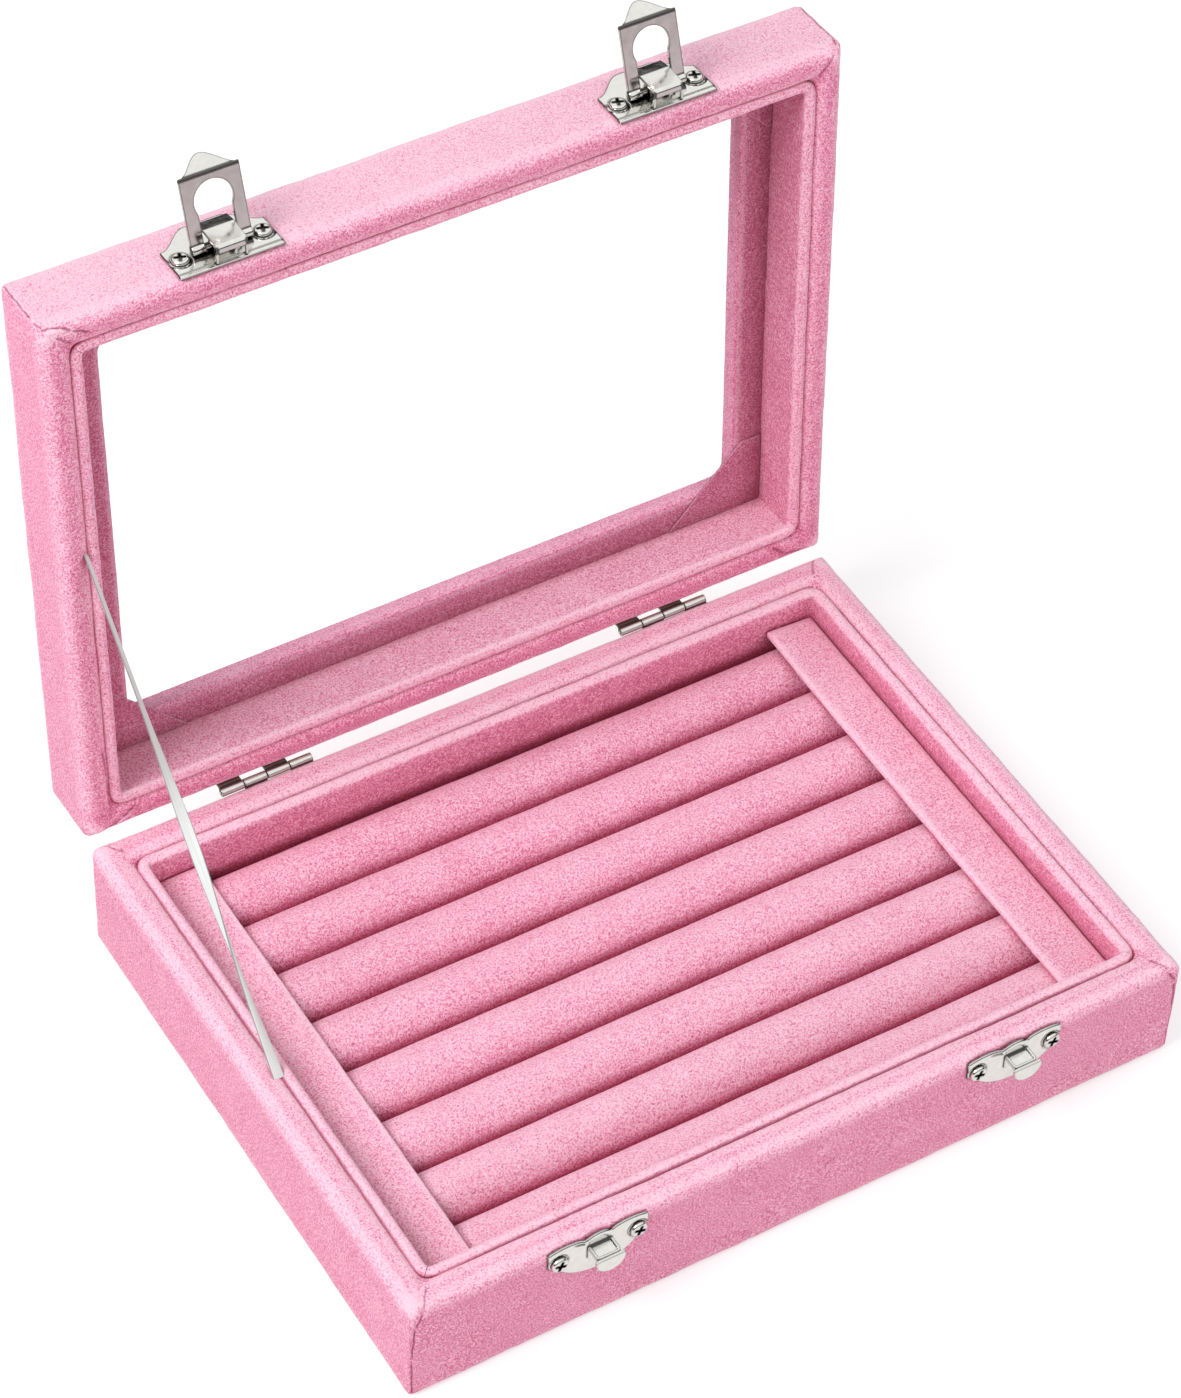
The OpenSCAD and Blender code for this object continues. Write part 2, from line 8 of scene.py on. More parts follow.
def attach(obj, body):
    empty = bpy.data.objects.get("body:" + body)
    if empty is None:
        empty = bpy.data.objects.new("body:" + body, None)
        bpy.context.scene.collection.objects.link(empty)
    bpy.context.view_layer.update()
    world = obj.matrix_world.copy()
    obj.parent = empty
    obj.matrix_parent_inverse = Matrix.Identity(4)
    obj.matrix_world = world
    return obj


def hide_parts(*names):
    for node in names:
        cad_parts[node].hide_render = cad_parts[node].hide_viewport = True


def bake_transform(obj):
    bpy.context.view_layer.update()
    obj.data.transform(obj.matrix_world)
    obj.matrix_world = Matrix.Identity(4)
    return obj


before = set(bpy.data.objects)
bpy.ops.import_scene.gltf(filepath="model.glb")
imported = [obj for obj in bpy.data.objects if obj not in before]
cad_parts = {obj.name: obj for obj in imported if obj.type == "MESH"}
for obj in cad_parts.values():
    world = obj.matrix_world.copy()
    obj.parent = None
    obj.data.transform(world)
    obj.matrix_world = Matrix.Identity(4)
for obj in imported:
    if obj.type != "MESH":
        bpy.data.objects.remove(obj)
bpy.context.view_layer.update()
bpy.ops.object.select_all(action="DESELECT")

MM = 0.001
SIDES = (-1, 1)
CORNERS = [(sx, sy) for sx in SIDES for sy in SIDES]
# The corners in turn, from the front left past the front right
IN_TURN = ((-1, -1), (1, -1), (1, 1), (-1, 1))
NAMES = {-1: "left", 1: "right"}

# Sizes that the solids have too, in millimetres
BOX_W, BOX_D, BASE_H, LID_H, WALL = 200, 150, 30, 20, 7.5
INNER_W, INNER_D = BOX_W - 2 * WALL, BOX_D - 2 * WALL
LINER = 2.3
WELL_W, WELL_D = INNER_W - 2 * LINER, INNER_D - 2 * LINER
TRAY_Z, BOARD_Z = 4.2, 20.25
LID_Z = 30.3
WINDOW_W, WINDOW_D, WINDOW_ROUND = 164.8, 114.8, 4
TOP_BOARD, PANE_FRAME = 2.4, 1.5
PANE_FRAME_Z = 44.6
HINGE_Y, HINGE_Z, LID_OPEN = 76.1, 30.15, 93.4
FITTING_X = 54
SCREW_X, CATCH_SCREW_DROP, LATCH_SCREW_H = 9.9, 4.4, 6
NAIL_X, NAIL_DROP = 6, 5.9
PLATE, LEAF_T = 0.8, 0.7
CATCH_Z = 29.5

# ---- Camera ----

PHOTO_W, PHOTO_H = 1181, 1398
# The lens's focal length and optical centre, in pixels of the photo
FOCAL_PX, CENTRE_PX = 4806.27, (560, 620)
SENSOR = 36
CAMERA_AT = (-0.399475, -0.601055, 0.855076)
RIGHT = (0.861858, -0.506364, 0.028236)
UP = (0.344185, 0.624897, 0.700743)
BACK = (-0.372476, -0.594222, 0.712855)
bpy.ops.object.camera_add()
camera = bpy.context.object
camera.matrix_world = Matrix.Translation(CAMERA_AT) @ Matrix((RIGHT, UP, BACK)).transposed().to_4x4()
camera.data.sensor_width = SENSOR
camera.data.lens = FOCAL_PX * SENSOR / PHOTO_H
camera.data.shift_x = (PHOTO_W / 2 - CENTRE_PX[0]) / PHOTO_H
camera.data.shift_y = (CENTRE_PX[1] - PHOTO_H / 2) / PHOTO_H
camera.data.clip_end = 50
bpy.context.scene.camera = camera

# ---- Materials ----


def colour(code):
    """A hex colour as linear red, green, blue and alpha"""
    parts = [int(code[i:i + 2], 16) / 255 for i in (1, 3, 5)]
    return [p / 12.92 if p <= 0.04045 else ((p + 0.055) / 1.055) ** 2.4 for p in parts] + [1]


def feed(node, inputs):
    """Gives each named socket of a shader node a value, or the socket that feeds it"""
    for key, value in dict(inputs).items():
        if isinstance(value, bpy.types.NodeSocket):
            node.id_data.links.new(value, node.inputs[key])
        else:
            node.inputs[key].default_value = value
    return node


def add_node(tree, kind, inputs=(), **settings):
    made = tree.nodes.new("ShaderNode" + kind)
    for key, value in settings.items():
        setattr(made, key, value)
    return feed(made, inputs)


def noise(tree, place, size, detail, **inputs):
    """Cloudy noise whose swells have that size in millimetres"""
    sockets = {"Vector": place, "Scale": 1 / (size * MM), "Detail": detail, **inputs}
    return add_node(tree, "TexNoise", sockets).outputs["Fac"]


def remap(tree, value, start, end, low, high):
    """Turns a value between start and end into one between low and high"""
    sockets = {"Value": value, "From Min": start, "From Max": end, "To Min": low, "To Max": high}
    return add_node(tree, "MapRange", sockets).outputs["Result"]


def mix(tree, share, first, second, blend="MIX"):
    """Mixes two colours"""
    return add_node(
        tree, "Mix", {0: share, 6: first, 7: second}, data_type="RGBA", blend_type=blend).outputs[2]


def maths(tree, work, *values, **settings):
    return add_node(tree, "Math", dict(enumerate(values)), operation=work, **settings).outputs[0]


def split(tree, vector, axis):
    return add_node(tree, "SeparateXYZ", {"Vector": vector}).outputs[axis]


def bump(tree, height, strength, distance):
    """The normals of a relief, its distance in millimetres"""
    sockets = {"Height": height, "Strength": strength, "Distance": distance * MM}
    return add_node(tree, "Bump", sockets).outputs["Normal"]


def new_material(name):
    made = bpy.data.materials.new(name)
    made.use_nodes = True
    return made, made.node_tree, made.node_tree.nodes["Principled BSDF"]


def flocked_velvet(name, shade, body, tip, hollow=3.5):
    """Short-pile polyester velvet: a dull coloured body, speckled by the pile itself, pale over a fold and
    dark in a crease, which is partly the pile's own look and partly painted highlight and painted shade;
    painted shade also darkens it near another surface. Hollow is how near another surface has to be, in
    millimetres, for that painted shade to darken the colour."""
    made, tree, skin = new_material(name)
    place = add_node(tree, "TexCoord").outputs["Object"]
    # The pile stands in tufts of about half a millimetre, and lies over in patches of about a centimetre
    tufts = noise(tree, place, 0.5, 2.5, Roughness=0.7)
    hairs = noise(tree, place, 0.3, 1.5)
    patches = noise(tree, place, 11, 3, Distortion=0.6)
    # The fold mark makes the cloth paler over an edge and darker in a hollow: partly the pile's own look,
    # partly painted highlight and painted shade
    fold = add_node(tree, "Attribute", attribute_name="fold").outputs["Fac"]
    tone = maths(tree, "MULTIPLY_ADD", tufts, 2.9, -2.13)
    for part, weight in ((hairs, 1.9), (patches, 0.3), (fold, 0.5)):
        tone = maths(tree, "MULTIPLY_ADD", part, weight, tone)
    # Faces that face up are painted paler, as painted light from above
    level = split(tree, add_node(tree, "TexCoord").outputs["Normal"], "Z")
    painted_top_light = remap(tree, level, 0.45, 1, 0, 0.24)
    ramp = add_node(tree, "ValToRGB", {"Fac": maths(tree, "ADD", tone, painted_top_light)})
    ramp.color_ramp.elements[0].color = colour(shade)
    ramp.color_ramp.elements[1].color = colour(tip)
    ramp.color_ramp.elements.new(0.5).color = colour(body)
    dye = ramp.outputs["Color"]
    if hollow:
        # Near another surface the colour is painted darker and deeper, as painted shade in the hollow
        shut = add_node(tree, "AmbientOcclusion", {"Distance": hollow * MM}, samples=8)
        painted_shade = remap(tree, shut.outputs["AO"], 0.12, 0.85, 1, 0)
        dye = mix(tree, painted_shade, dye, colour(shade), "MULTIPLY")
        # A pressed seam is painted darker, as shade in its groove
        seam = add_node(tree, "Attribute", attribute_name="seam").outputs["Fac"]
        dye = mix(tree, remap(tree, seam, 0.12, 0.75, 0, 0.5), dye, colour("#8a1f4c"))
    height = maths(tree, "MULTIPLY_ADD", hairs, 0.5, tufts)
    feed(skin, {
        "Base Color": dye, "Normal": bump(tree, height, 0.9, 0.4), "Roughness": 0.92,
        "Specular IOR Level": 0.15, "Sheen Weight": 0.3, "Sheen Roughness": 0.5,
        "Sheen Tint": colour("#ffe8f2")})
    return made


def polished_nickel(name, shade_tint, reaches, metal=1):
    """Nickel-plated steel, tumbled bright: warm white mirror with a faint haze and fine rub marks, with
    painted shade in its recesses and a painted dark line along its cut edges. A reach is how near another
    surface has to be, in millimetres, for the painted shade, then the share of open sky where it is darkest
    and where it is bright, and whether it looks inside the metal. Metal is how much of the surface is bare
    plating."""
    made, tree, skin = new_material(name)
    place = add_node(tree, "TexCoord").outputs["Object"]
    cloud = noise(tree, place, 1.6, 4)
    marks = noise(tree, place, 0.25, 2)
    rough = remap(tree, cloud, 0.3, 0.7, 0.08, 0.2)
    tint = mix(tree, cloud, colour("#dddcd6"), colour("#f3f2ee"))
    # The painted dark line along the edges: seen from inside the metal, a cut edge is near too
    for reach, low, high, inside in reaches + [(0.38, 0.5, 0.93, True)]:
        shut = add_node(tree, "AmbientOcclusion", {"Distance": reach * MM}, samples=6, inside=inside)
        most = 0.85 if inside else 0.97
        painted_shade = remap(tree, shut.outputs["AO"], low, high, most, 0)
        tint = mix(tree, painted_shade, tint, colour("#24231f" if inside else shade_tint))
    feed(skin, {
        "Base Color": tint, "Normal": bump(tree, marks, 0.12, 0.05), "Roughness": rough, "Metallic": metal})
    return made


def satin():
    """White polyester satin: threads too fine to see apart, and a soft shine that changes across the twist"""
    made, tree, skin = new_material("white_satin_ribbon")
    along = add_node(tree, "UVMap", uv_map="UVMap").outputs["UV"]
    # The map runs 0 to 1 across its 3 mm too, so the stretched noise draws threads of 0.15 mm along it
    threads = add_node(tree, "Mapping", {"Vector": along, "Scale": (20, 6, 1)})
    weave = add_node(tree, "TexNoise", {"Vector": threads.outputs["Vector"], "Scale": 1, "Detail": 2})
    tint = mix(tree, weave.outputs["Fac"], colour("#c4c7c6"), colour("#eceeec"))
    # Each edge is painted with a grey line, as painted shade along it
    across = maths(tree, "ABSOLUTE", maths(tree, "SUBTRACT", split(tree, along, "X"), 0.5))
    tint = mix(tree, remap(tree, across, 0.41, 0.47, 0, 0.75), tint, colour("#6d6a6c"))
    feed(skin, {
        "Base Color": tint, "Normal": bump(tree, weave.outputs["Fac"], 0.15, 0.04), "Roughness": 0.36,
        "Anisotropic": 0.4, "Sheen Weight": 0.2})
    return made


def float_glass():
    """Clear thin float glass: it mirrors very little, and lets light pass into the box"""
    made, tree, skin = new_material("clear_float_glass")
    feed(skin, {"Base Color": colour("#fafdfc"), "Roughness": 0, "IOR": 1.3, "Transmission Weight": 1})
    clear = add_node(tree, "BsdfTransparent", {"Color": colour("#f4faf8")})
    ray = add_node(tree, "LightPath").outputs["Is Shadow Ray"]
    mixed = add_node(tree, "MixShader", {0: ray, 1: skin.outputs["BSDF"], 2: clear.outputs["BSDF"]})
    feed(tree.nodes["Material Output"], {"Surface": mixed.outputs[0]})
    return made


def grey_board():
    """Uncoated grey-pink box board: matt, with short fibres and small flecks"""
    made, tree, skin = new_material("fibrous_box_board")
    place = add_node(tree, "TexCoord").outputs["Object"]
    fibres = noise(tree, place, 0.8, 6, Distortion=2)
    tint = mix(tree, fibres, colour("#b89aa4"), colour("#e2cdd3"))
    feed(skin, {"Base Color": tint, "Normal": bump(tree, fibres, 0.3, 0.1), "Roughness": 0.85})
    return made


VELVET = flocked_velvet("rose_flocked_velvet", "#cf5f88", "#f097b8", "#fdcfe0")
EDGE_VELVET = flocked_velvet("rose_flocked_velvet_edge", "#c9567f", "#e68fb0", "#f8bad1", 0)
# The window frame and gussets, deep in the lid, get a darker copy of the velvet with a wider reach of painted
# shade: painted shade of the recess
SHADED_VELVET = flocked_velvet("rose_flocked_velvet_recess", "#a8466d", "#c9718f", "#dba3b9", 9)
# Painted shade: near black in the plates' recesses, olive grey in the hinges', where it also stands in for
# what they mirror
NICKEL = polished_nickel("polished_nickel_plate", "#2b2a25", [(0.9, 0.35, 0.8, False), (4, 0.26, 0.6, False)])
HINGE_NICKEL = polished_nickel("polished_nickel_hinge", "#a3ad92", [(2.6, 0.45, 0.95, False)], 0.7)
SATIN = satin()
GLASS = float_glass()
BOARD = grey_board()

# ---- Modelling tools; lengths are in millimetres ----


BRIDGE = (bpy.ops.mesh.bridge_edge_loops, {})


def inset(width, rise=0):
    return bpy.ops.mesh.inset, {"thickness": width * MM, "depth": rise * MM}


def only(*objects):
    """Selects these objects alone, the first of them active"""
    bpy.ops.object.select_all(action="DESELECT")
    for obj in objects:
        obj.select_set(True)
    if objects:
        bpy.context.view_layer.objects.active = objects[0]


def named(obj, name):
    obj.name = obj.data.name = name
    return obj


def settle(name):
    """Names the piece just added and puts its place into its mesh"""
    obj = named(bpy.context.object, name)
    bpy.ops.object.transform_apply(location=True, rotation=True, scale=True)
    return obj


def cuboid(name, low, high):
    middle = [(a + b) / 2 * MM for a, b in zip(low, high)]
    only()
    bpy.ops.mesh.primitive_cube_add(size=MM, location=middle, scale=[b - a for a, b in zip(low, high)])
    return settle(name)


def block(name, half_w, half_d, bottom, top):
    """A box centred on the Z axis"""
    return cuboid(name, (-half_w, -half_d, bottom), (half_w, half_d, top))


def rod(name, radius, low, high, sides=32):
    """A cylinder between two points on a line along one axis"""
    low, high = Vector(low), Vector(high)
    turn = Vector((0, 0, 1)).rotation_difference(high - low).to_euler()
    only()
    bpy.ops.mesh.primitive_cylinder_add(
        vertices=sides, radius=radius * MM, depth=(high - low).length * MM,
        location=(low + high) / 2 * MM, rotation=turn)
    return settle(name)


def unselect(mesh):
    for parts in (mesh.vertices, mesh.edges, mesh.polygons):
        parts.foreach_set("select", np.zeros(len(parts), bool))


def shape(obj, kind, test, *steps):
    """Selects the faces, edges or vertices whose middle and direction pass the test, then works on
    them in edit mode. A step is an operator and its settings."""
    only(obj)
    mesh = obj.data
    unselect(mesh)
    bpy.context.tool_settings.mesh_select_mode = [kind == k for k in ("VERT", "EDGE", "FACE")]
    if kind == "FACE":
        for face in mesh.polygons:
            face.select = bool(test(face.center / MM, face.normal))
    elif kind == "EDGE":
        for edge in mesh.edges:
            a, b = (mesh.vertices[v].co for v in edge.vertices)
            edge.select = bool(test((a + b) / 2 / MM, (b - a).normalized()))
    else:
        for point in mesh.vertices:
            point.select = bool(test(point.co / MM, point.normal))
    bpy.ops.object.mode_set(mode="EDIT")
    for work, settings in steps:
        work(**settings)
    bpy.ops.object.mode_set(mode="OBJECT")
    return obj


def finish(obj, kind, **settings):
    """Adds a modifier and applies it"""
    only(obj)
    bpy.ops.object.modifier_add(type=kind)
    step = obj.modifiers[-1]
    for key, value in settings.items():
        setattr(step, key, value)
    bpy.ops.object.modifier_apply(modifier=step.name)
    return obj


def round_edges(obj, segments, *rows):
    """Rounds edges, each row with its own radius: a radius and a test of an edge's middle and direction"""
    most = max(radius for radius, _ in rows)
    weight = (obj.data.attributes.get("bevel_weight_edge")
              or obj.data.attributes.new("bevel_weight_edge", "FLOAT", "EDGE"))
    points = [v.co / MM for v in obj.data.vertices]
    for i, edge in enumerate(obj.data.edges):
        a, b = (points[v] for v in edge.vertices)
        hits = [radius for radius, test in rows if test((a + b) / 2, (b - a).normalized())]
        weight.data[i].value = max(hits) / most if hits else 0
    return finish(obj, "BEVEL", limit_method="WEIGHT",
                  width=most * MM, segments=segments, use_clamp_overlap=True)


def soften(obj, radius, segments=2, angle=35):
    """Breaks every sharp edge and shades the rest smooth"""
    finish(obj, "BEVEL", limit_method="ANGLE", angle_limit=math.radians(angle),
           width=radius * MM, segments=segments)
    return smooth(obj, angle)


def smooth(obj, angle=180):
    only(obj)
    if angle < 180:
        bpy.ops.object.shade_smooth_by_angle(angle=math.radians(angle))
    else:
        bpy.ops.object.shade_smooth()
    return obj


def true_flats(obj):
    """Keeps large flat faces flat where they meet a rounded edge"""
    return finish(obj, "WEIGHTED_NORMAL", keep_sharp=True, weight=80)


def cut(obj, *tools):
    for tool in tools:
        finish(obj, "BOOLEAN", operation="DIFFERENCE", object=tool, solver="EXACT")
        bpy.data.objects.remove(tool)
    return obj


def join(obj, *others):
    only(obj, *others)
    bpy.ops.object.join()
    return obj


def anywhere(place, direction):
    return True


def slice_up(obj, *rows):
    """Divides the edges that run along an axis with so many even cuts. A row is an axis and its cuts."""
    for axis, cuts in rows:
        shape(obj, "EDGE", lambda p, d: abs(d[axis]) > 0.999, (bpy.ops.mesh.subdivide, {"number_cuts": cuts}))
    return obj


def slant(obj, at, normal):
    """Cuts a piece off at a plane and closes the cut"""
    return shape(obj, "VERT", anywhere, (bpy.ops.mesh.bisect, {
        "plane_co": Vector(at) * MM, "plane_no": normal, "use_fill": True, "clear_outer": True}))


def moved(obj, matrix):
    """Moves a piece within its mesh"""
    only(obj)
    obj.matrix_world = matrix
    bpy.ops.object.transform_apply(location=True, rotation=True, scale=True)
    return obj


def shift(x, y=0, z=0):
    return Matrix.Translation(Vector((x, y, z)) * MM)


def turned(degrees, axis, at=(0, 0, 0)):
    return shift(*at) @ Matrix.Rotation(math.radians(degrees), 4, axis) @ shift(*(-c for c in at))


def copied(obj, name, matrix):
    only(obj)
    bpy.ops.object.duplicate(linked=False)
    return moved(named(bpy.context.object, name), matrix)


SWING = turned(-LID_OPEN, "X", (0, HINGE_Y, HINGE_Z))


def numbers(parts, field, width=3, kind=np.float32):
    found = np.empty(len(parts) * width, kind)
    parts.foreach_get(field, found)
    return found.reshape(-1, width) if width > 1 else found


def surface(obj):
    """The points of a mesh, in millimetres, and their normals"""
    return numbers(obj.data.vertices, "co") / MM, numbers(obj.data.vertices, "normal")


def read_mark(obj, key):
    return numbers(obj.data.attributes[key].data, "value", 1)


def write_mark(obj, key, values):
    obj.data.attributes[key].data.foreach_set("value", values.astype(np.float32))


def reshape(obj, move):
    """Moves every point to where move(points, normals) puts it, in millimetres"""
    points = move(*surface(obj))
    obj.data.vertices.foreach_set("co", (points * MM).astype(np.float32).ravel())
    obj.data.update()
    return obj


def mark_folds(obj, gain=0.0042, rounds=2):
    """Stores how sharply the cloth bends at each point: above zero over an edge, below zero in a hollow"""
    mesh = obj.data
    points, normals = numbers(mesh.vertices, "co"), numbers(mesh.vertices, "normal")
    pairs = numbers(mesh.edges, "vertices", 2, np.int32)
    a, b = pairs[:, 0], pairs[:, 1]
    run = points[b] - points[a]
    length = np.maximum((run ** 2).sum(1), 1e-12)
    count = np.bincount(np.r_[a, b], minlength=len(points))
    bend = np.bincount(a, -2 * (run * normals[a]).sum(1) / length, len(points))
    bend += np.bincount(b, 2 * (run * normals[b]).sum(1) / length, len(points))
    bend = np.clip(bend / np.maximum(count, 1) * gain, -1, 1)
    for _ in range(rounds):
        near = np.bincount(a, bend[b], len(points)) + np.bincount(b, bend[a], len(points))
        bend = (bend + near / np.maximum(count, 1)) / 2
    for key in ("fold", "seam"):
        mesh.attributes.new(key, "FLOAT", "POINT")
    write_mark(obj, "fold", bend)
    return obj


def from_line(points, start, end, normals=None):
    """How far each point is from a line, and its share of the way along it. With normals, a line just over
    or under the surface counts as lying on it."""
    start, run = np.array(start, float), np.array(end, float) - np.array(start, float)
    along = np.clip(((points - start) @ run) / (run @ run), 0, 1)
    away = points - start - along[:, None] * run
    if normals is not None:
        away = away - 0.7 * (away * normals).sum(1)[:, None] * normals
    return np.linalg.norm(away, axis=1), along


def refine(obj, rows, reach=1.3, cuts=3):
    """Divides the faces beside seam lines, so that a fine groove can be pressed there"""
    only(obj)
    mesh = obj.data
    middles = numbers(mesh.polygons, "center") / MM
    near = np.zeros(len(middles), bool)
    for start, end, *_ in rows:
        near |= from_line(middles, start, end)[0] < reach
    unselect(mesh)
    mesh.polygons.foreach_set("select", near)
    bpy.context.tool_settings.mesh_select_mode = (False, False, True)
    bpy.ops.object.mode_set(mode="EDIT")
    bpy.ops.mesh.subdivide(number_cuts=cuts)
    bpy.ops.object.mode_set(mode="OBJECT")
    return obj


def paint_tone(obj, change):
    """Paints the cloth paler or darker through its fold mark, mostly as painted light and shade: change(fold,
    points, normals) gives the new value of fold at each point
    """
    write_mark(obj, "fold", change(read_mark(obj, "fold"), *surface(obj)))
    return obj


def crease(obj, *rows):
    """Presses seams and ridges into the cloth, with painted shade in the seams and a painted highlight on the
    ridges. A row has the line's two ends, its depth, below zero for a ridge, and its half width."""
    points, normals = surface(obj)
    fold, seam = read_mark(obj, "fold"), read_mark(obj, "seam")
    ragged = points + 0.09 * np.sin(points[:, [1, 2, 0]] * 1.9 + points[:, [2, 0, 1]] * 1.1)
    for start, end, depth, width in rows:
        gap, along = from_line(ragged, start, end, normals)
        press = np.exp(-(gap / width) ** 2) * np.clip(np.minimum(along, 1 - along) * 8, 0.35, 1)
        points -= normals * (depth * press)[:, None]
        if depth < 0:
            fold += (0.9 * press).astype(np.float32)
        else:
            seam = np.maximum(seam, press).astype(np.float32)
    write_mark(obj, "fold", fold)
    write_mark(obj, "seam", seam)
    return reshape(obj, lambda p, n: points)


def press_level(z, way):
    """Stops the cloth 0.1 mm past a level, where the shut lid or the table presses it"""
    def press(points, normals):
        past = np.maximum((points[:, 2] - z) * way, 0)
        points[:, 2] += way * (0.1 * np.tanh(past / 0.1) - past)
        return points
    return press


def ruffle(obj, *rows):
    """Raises and sinks the cloth softly. A row is the size of a swell and its height."""
    for size, height in rows:
        swell = bpy.data.textures.new("cloth_swell", "CLOUDS")
        swell.noise_scale = size * MM
        finish(obj, "DISPLACE", texture=swell, texture_coords="LOCAL", strength=height * MM, mid_level=0.5)
    return obj


def grid_sheet(name, columns, rows):
    """A flat grid to be shaped, with so many columns and rows of points, in the X-Z plane and facing -Y"""
    only()
    bpy.ops.mesh.primitive_grid_add(
        x_subdivisions=columns - 1, y_subdivisions=rows - 1, size=MM, rotation=(math.radians(90), 0, 0))
    return settle(name)


def pressed_plate(name, xs, top, bottom, edge, thickness, relief):
    """A sheet-metal blank whose top and bottom edges are curves over xs. Its front face lies at y = 0 less
    relief(x, z, distance from the edge), and its back at y = thickness."""
    shares = [0, 0.12, 0.3, 0.5, 0.85, 1]
    # A level's height is a share of the edge's width and a share of what lies between the two edges
    levels = [(s, 0) for s in shares] + [(1, i / 25) for i in range(1, 25)]
    levels += [(2 - s, 1) for s in shares[::-1]]
    obj = grid_sheet(name, len(xs), len(levels))
    grid = numbers(obj.data.vertices, "co").astype(float).round(7)
    columns, rows = (np.unique(grid[:, axis], return_inverse=True)[1] for axis in (0, 2))
    points = np.zeros((len(grid), 3))
    for i, (column, row) in enumerate(zip(columns, rows)):
        x, (near_edge, between) = xs[column], levels[row]
        low, high = bottom(x), top(x)
        z = low + edge * near_edge + (high - low - 2 * edge) * between
        rim = min(z - low, high - z, x - xs[0], xs[-1] - x)
        points[i] = x, -relief(x, z, rim, high - z), z
    reshape(obj, lambda p, n: points)
    finish(obj, "SOLIDIFY", thickness=thickness * MM, offset=-1)
    return smooth(obj, 40)


def show(obj, body, material, extra=False):
    """Gives a finished piece its material and its body. It has the name of the solid that it stands for and
    one word more; an extra piece stands for none."""
    obj.data.materials.clear()
    obj.data.materials.append(material)
    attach(obj, body)
    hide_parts(*([] if extra else [obj.name.rsplit("_", 1)[0]]))
    return obj


def show_metal(obj, body, material=NICKEL):
    return show(obj, body, material)


def show_insert(obj, body, material=VELVET, extra=False):
    return show(obj, body, material, extra)


# ---- Velvet-covered walls of the base and the lid ----

VOXEL = 0.75
# Radius of the walls' inner corners
TURN = 3.4
WALL_SWELLS = ((34, 0.5), (9, 0.25), (2.6, 0.14))


def outer_rim(z):
    return lambda p, d: abs(p.z - z) < 0.01 and (abs(p.x) > BOX_W / 2 - 0.1 or abs(p.y) > BOX_D / 2 - 0.1)


def inner_rim(z):
    return lambda p, d: (abs(p.z - z) < 0.01 and not outer_rim(z)(p, d)
                         and (abs(abs(p.x) - INNER_W / 2) < 0.1 or abs(abs(p.y) - INNER_D / 2) < 0.1))


def uprights(width, depth, reach=0.1):
    """The upright edges of a rectangle, tested to within reach"""
    return lambda p, d: (
        abs(d.z) > 0.99 and abs(abs(p.x) - width / 2) < reach and abs(abs(p.y) - depth / 2) < reach)


def turn_corner(half_x, half_y):
    """Bends what stands square in the walls' inner corners round them"""
    def bend(points, normals):
        centre = np.array([half_x - TURN, half_y - TURN])
        way = np.abs(points[:, :2]) - centre
        scale = np.where((way > 0).all(1), way.max(1) / np.maximum(np.hypot(way[:, 0], way[:, 1]), 1e-9), 1)
        flat = np.sign(points[:, :2]) * (centre + way * scale[:, None])
        return np.concatenate([flat, points[:, 2:]], 1)
    return bend


def stuff(obj, voxel, seams=()):
    """Turns a hard form into close, even cloth, finer beside its seams"""
    finish(obj, "REMESH", mode="VOXEL", voxel_size=voxel * MM)
    finish(obj, "SMOOTH", factor=0.5, iterations=2)
    if seams:
        refine(obj, seams)
    mark_folds(obj)
    # The cloth is drawn tight round the upright corners, with no pale fold there
    corner = (BOX_W / 2 - 3, BOX_D / 2 - 3)
    return paint_tone(obj, lambda fold, p, n: np.where(
        (np.abs(p[:, :2]) > corner).all(1) & (np.abs(n[:, 2]) < 0.35), fold * 0.2, fold))


def by_corner(sx, sy, x, y, z):
    """A point so far in from an outer corner"""
    return sx * (BOX_W / 2 - x), sy * (BOX_D / 2 - y), z


def corner_seams(*levels):
    """The glued seams of the upright corners on the front and back faces. A level is a height and the seam's
    distance from the corner there."""
    return [(by_corner(sx, sy, in1, 0, z1), by_corner(sx, sy, in2, 0, z2), 0.45, 0.32)
            for sx, sy in CORNERS for (z1, in1), (z2, in2) in zip(levels, levels[1:])]


def corner_puffs(z, *sizes):
    """Cloth bunched at the rim's corners, with the height and half width of each puff"""
    return [(by_corner(sx, sy, 1.6, 1.6, z), by_corner(sx, sy, 3.4, 3.4, z), -height, width)
            for (sx, sy), (height, width) in zip(IN_TURN, sizes)]


WALL_UPRIGHTS = ((0.5, uprights(BOX_W, BOX_D)), (TURN, uprights(INNER_W, INNER_D)))

base = block("base_frame_velvet", BOX_W / 2, BOX_D / 2, 0, BASE_H)
shape(base, "FACE", lambda p, n: abs(n.z) > 0.9, inset(WALL), BRIDGE)
# The back rim is sharper than the others
round_edges(base, 6, (2.8, lambda p, d: outer_rim(BASE_H)(p, d) and p.y < BOX_D / 2 - 0.1),
            (0.9, outer_rim(BASE_H)), (3, inner_rim(BASE_H)), (0.8, outer_rim(0)), *WALL_UPRIGHTS)
seams = corner_seams((-2, 0.6), (13, 0.5), (24, 1.3), (28.6, 3.4))
tucks = [(by_corner(sx, sy, 3.2, 0.4, 28.9), by_corner(sx, sy, 6.6, 4.7, 30.1), 0.3, 0.35)
         for sx, sy in CORNERS]
stuff(base, VOXEL, seams + tucks)
crease(base, *seams, *tucks)
crease(base, *corner_puffs(BASE_H, (0.5, 2.4), (0.35, 2.2), (0.3, 2.2), (0.3, 2)))


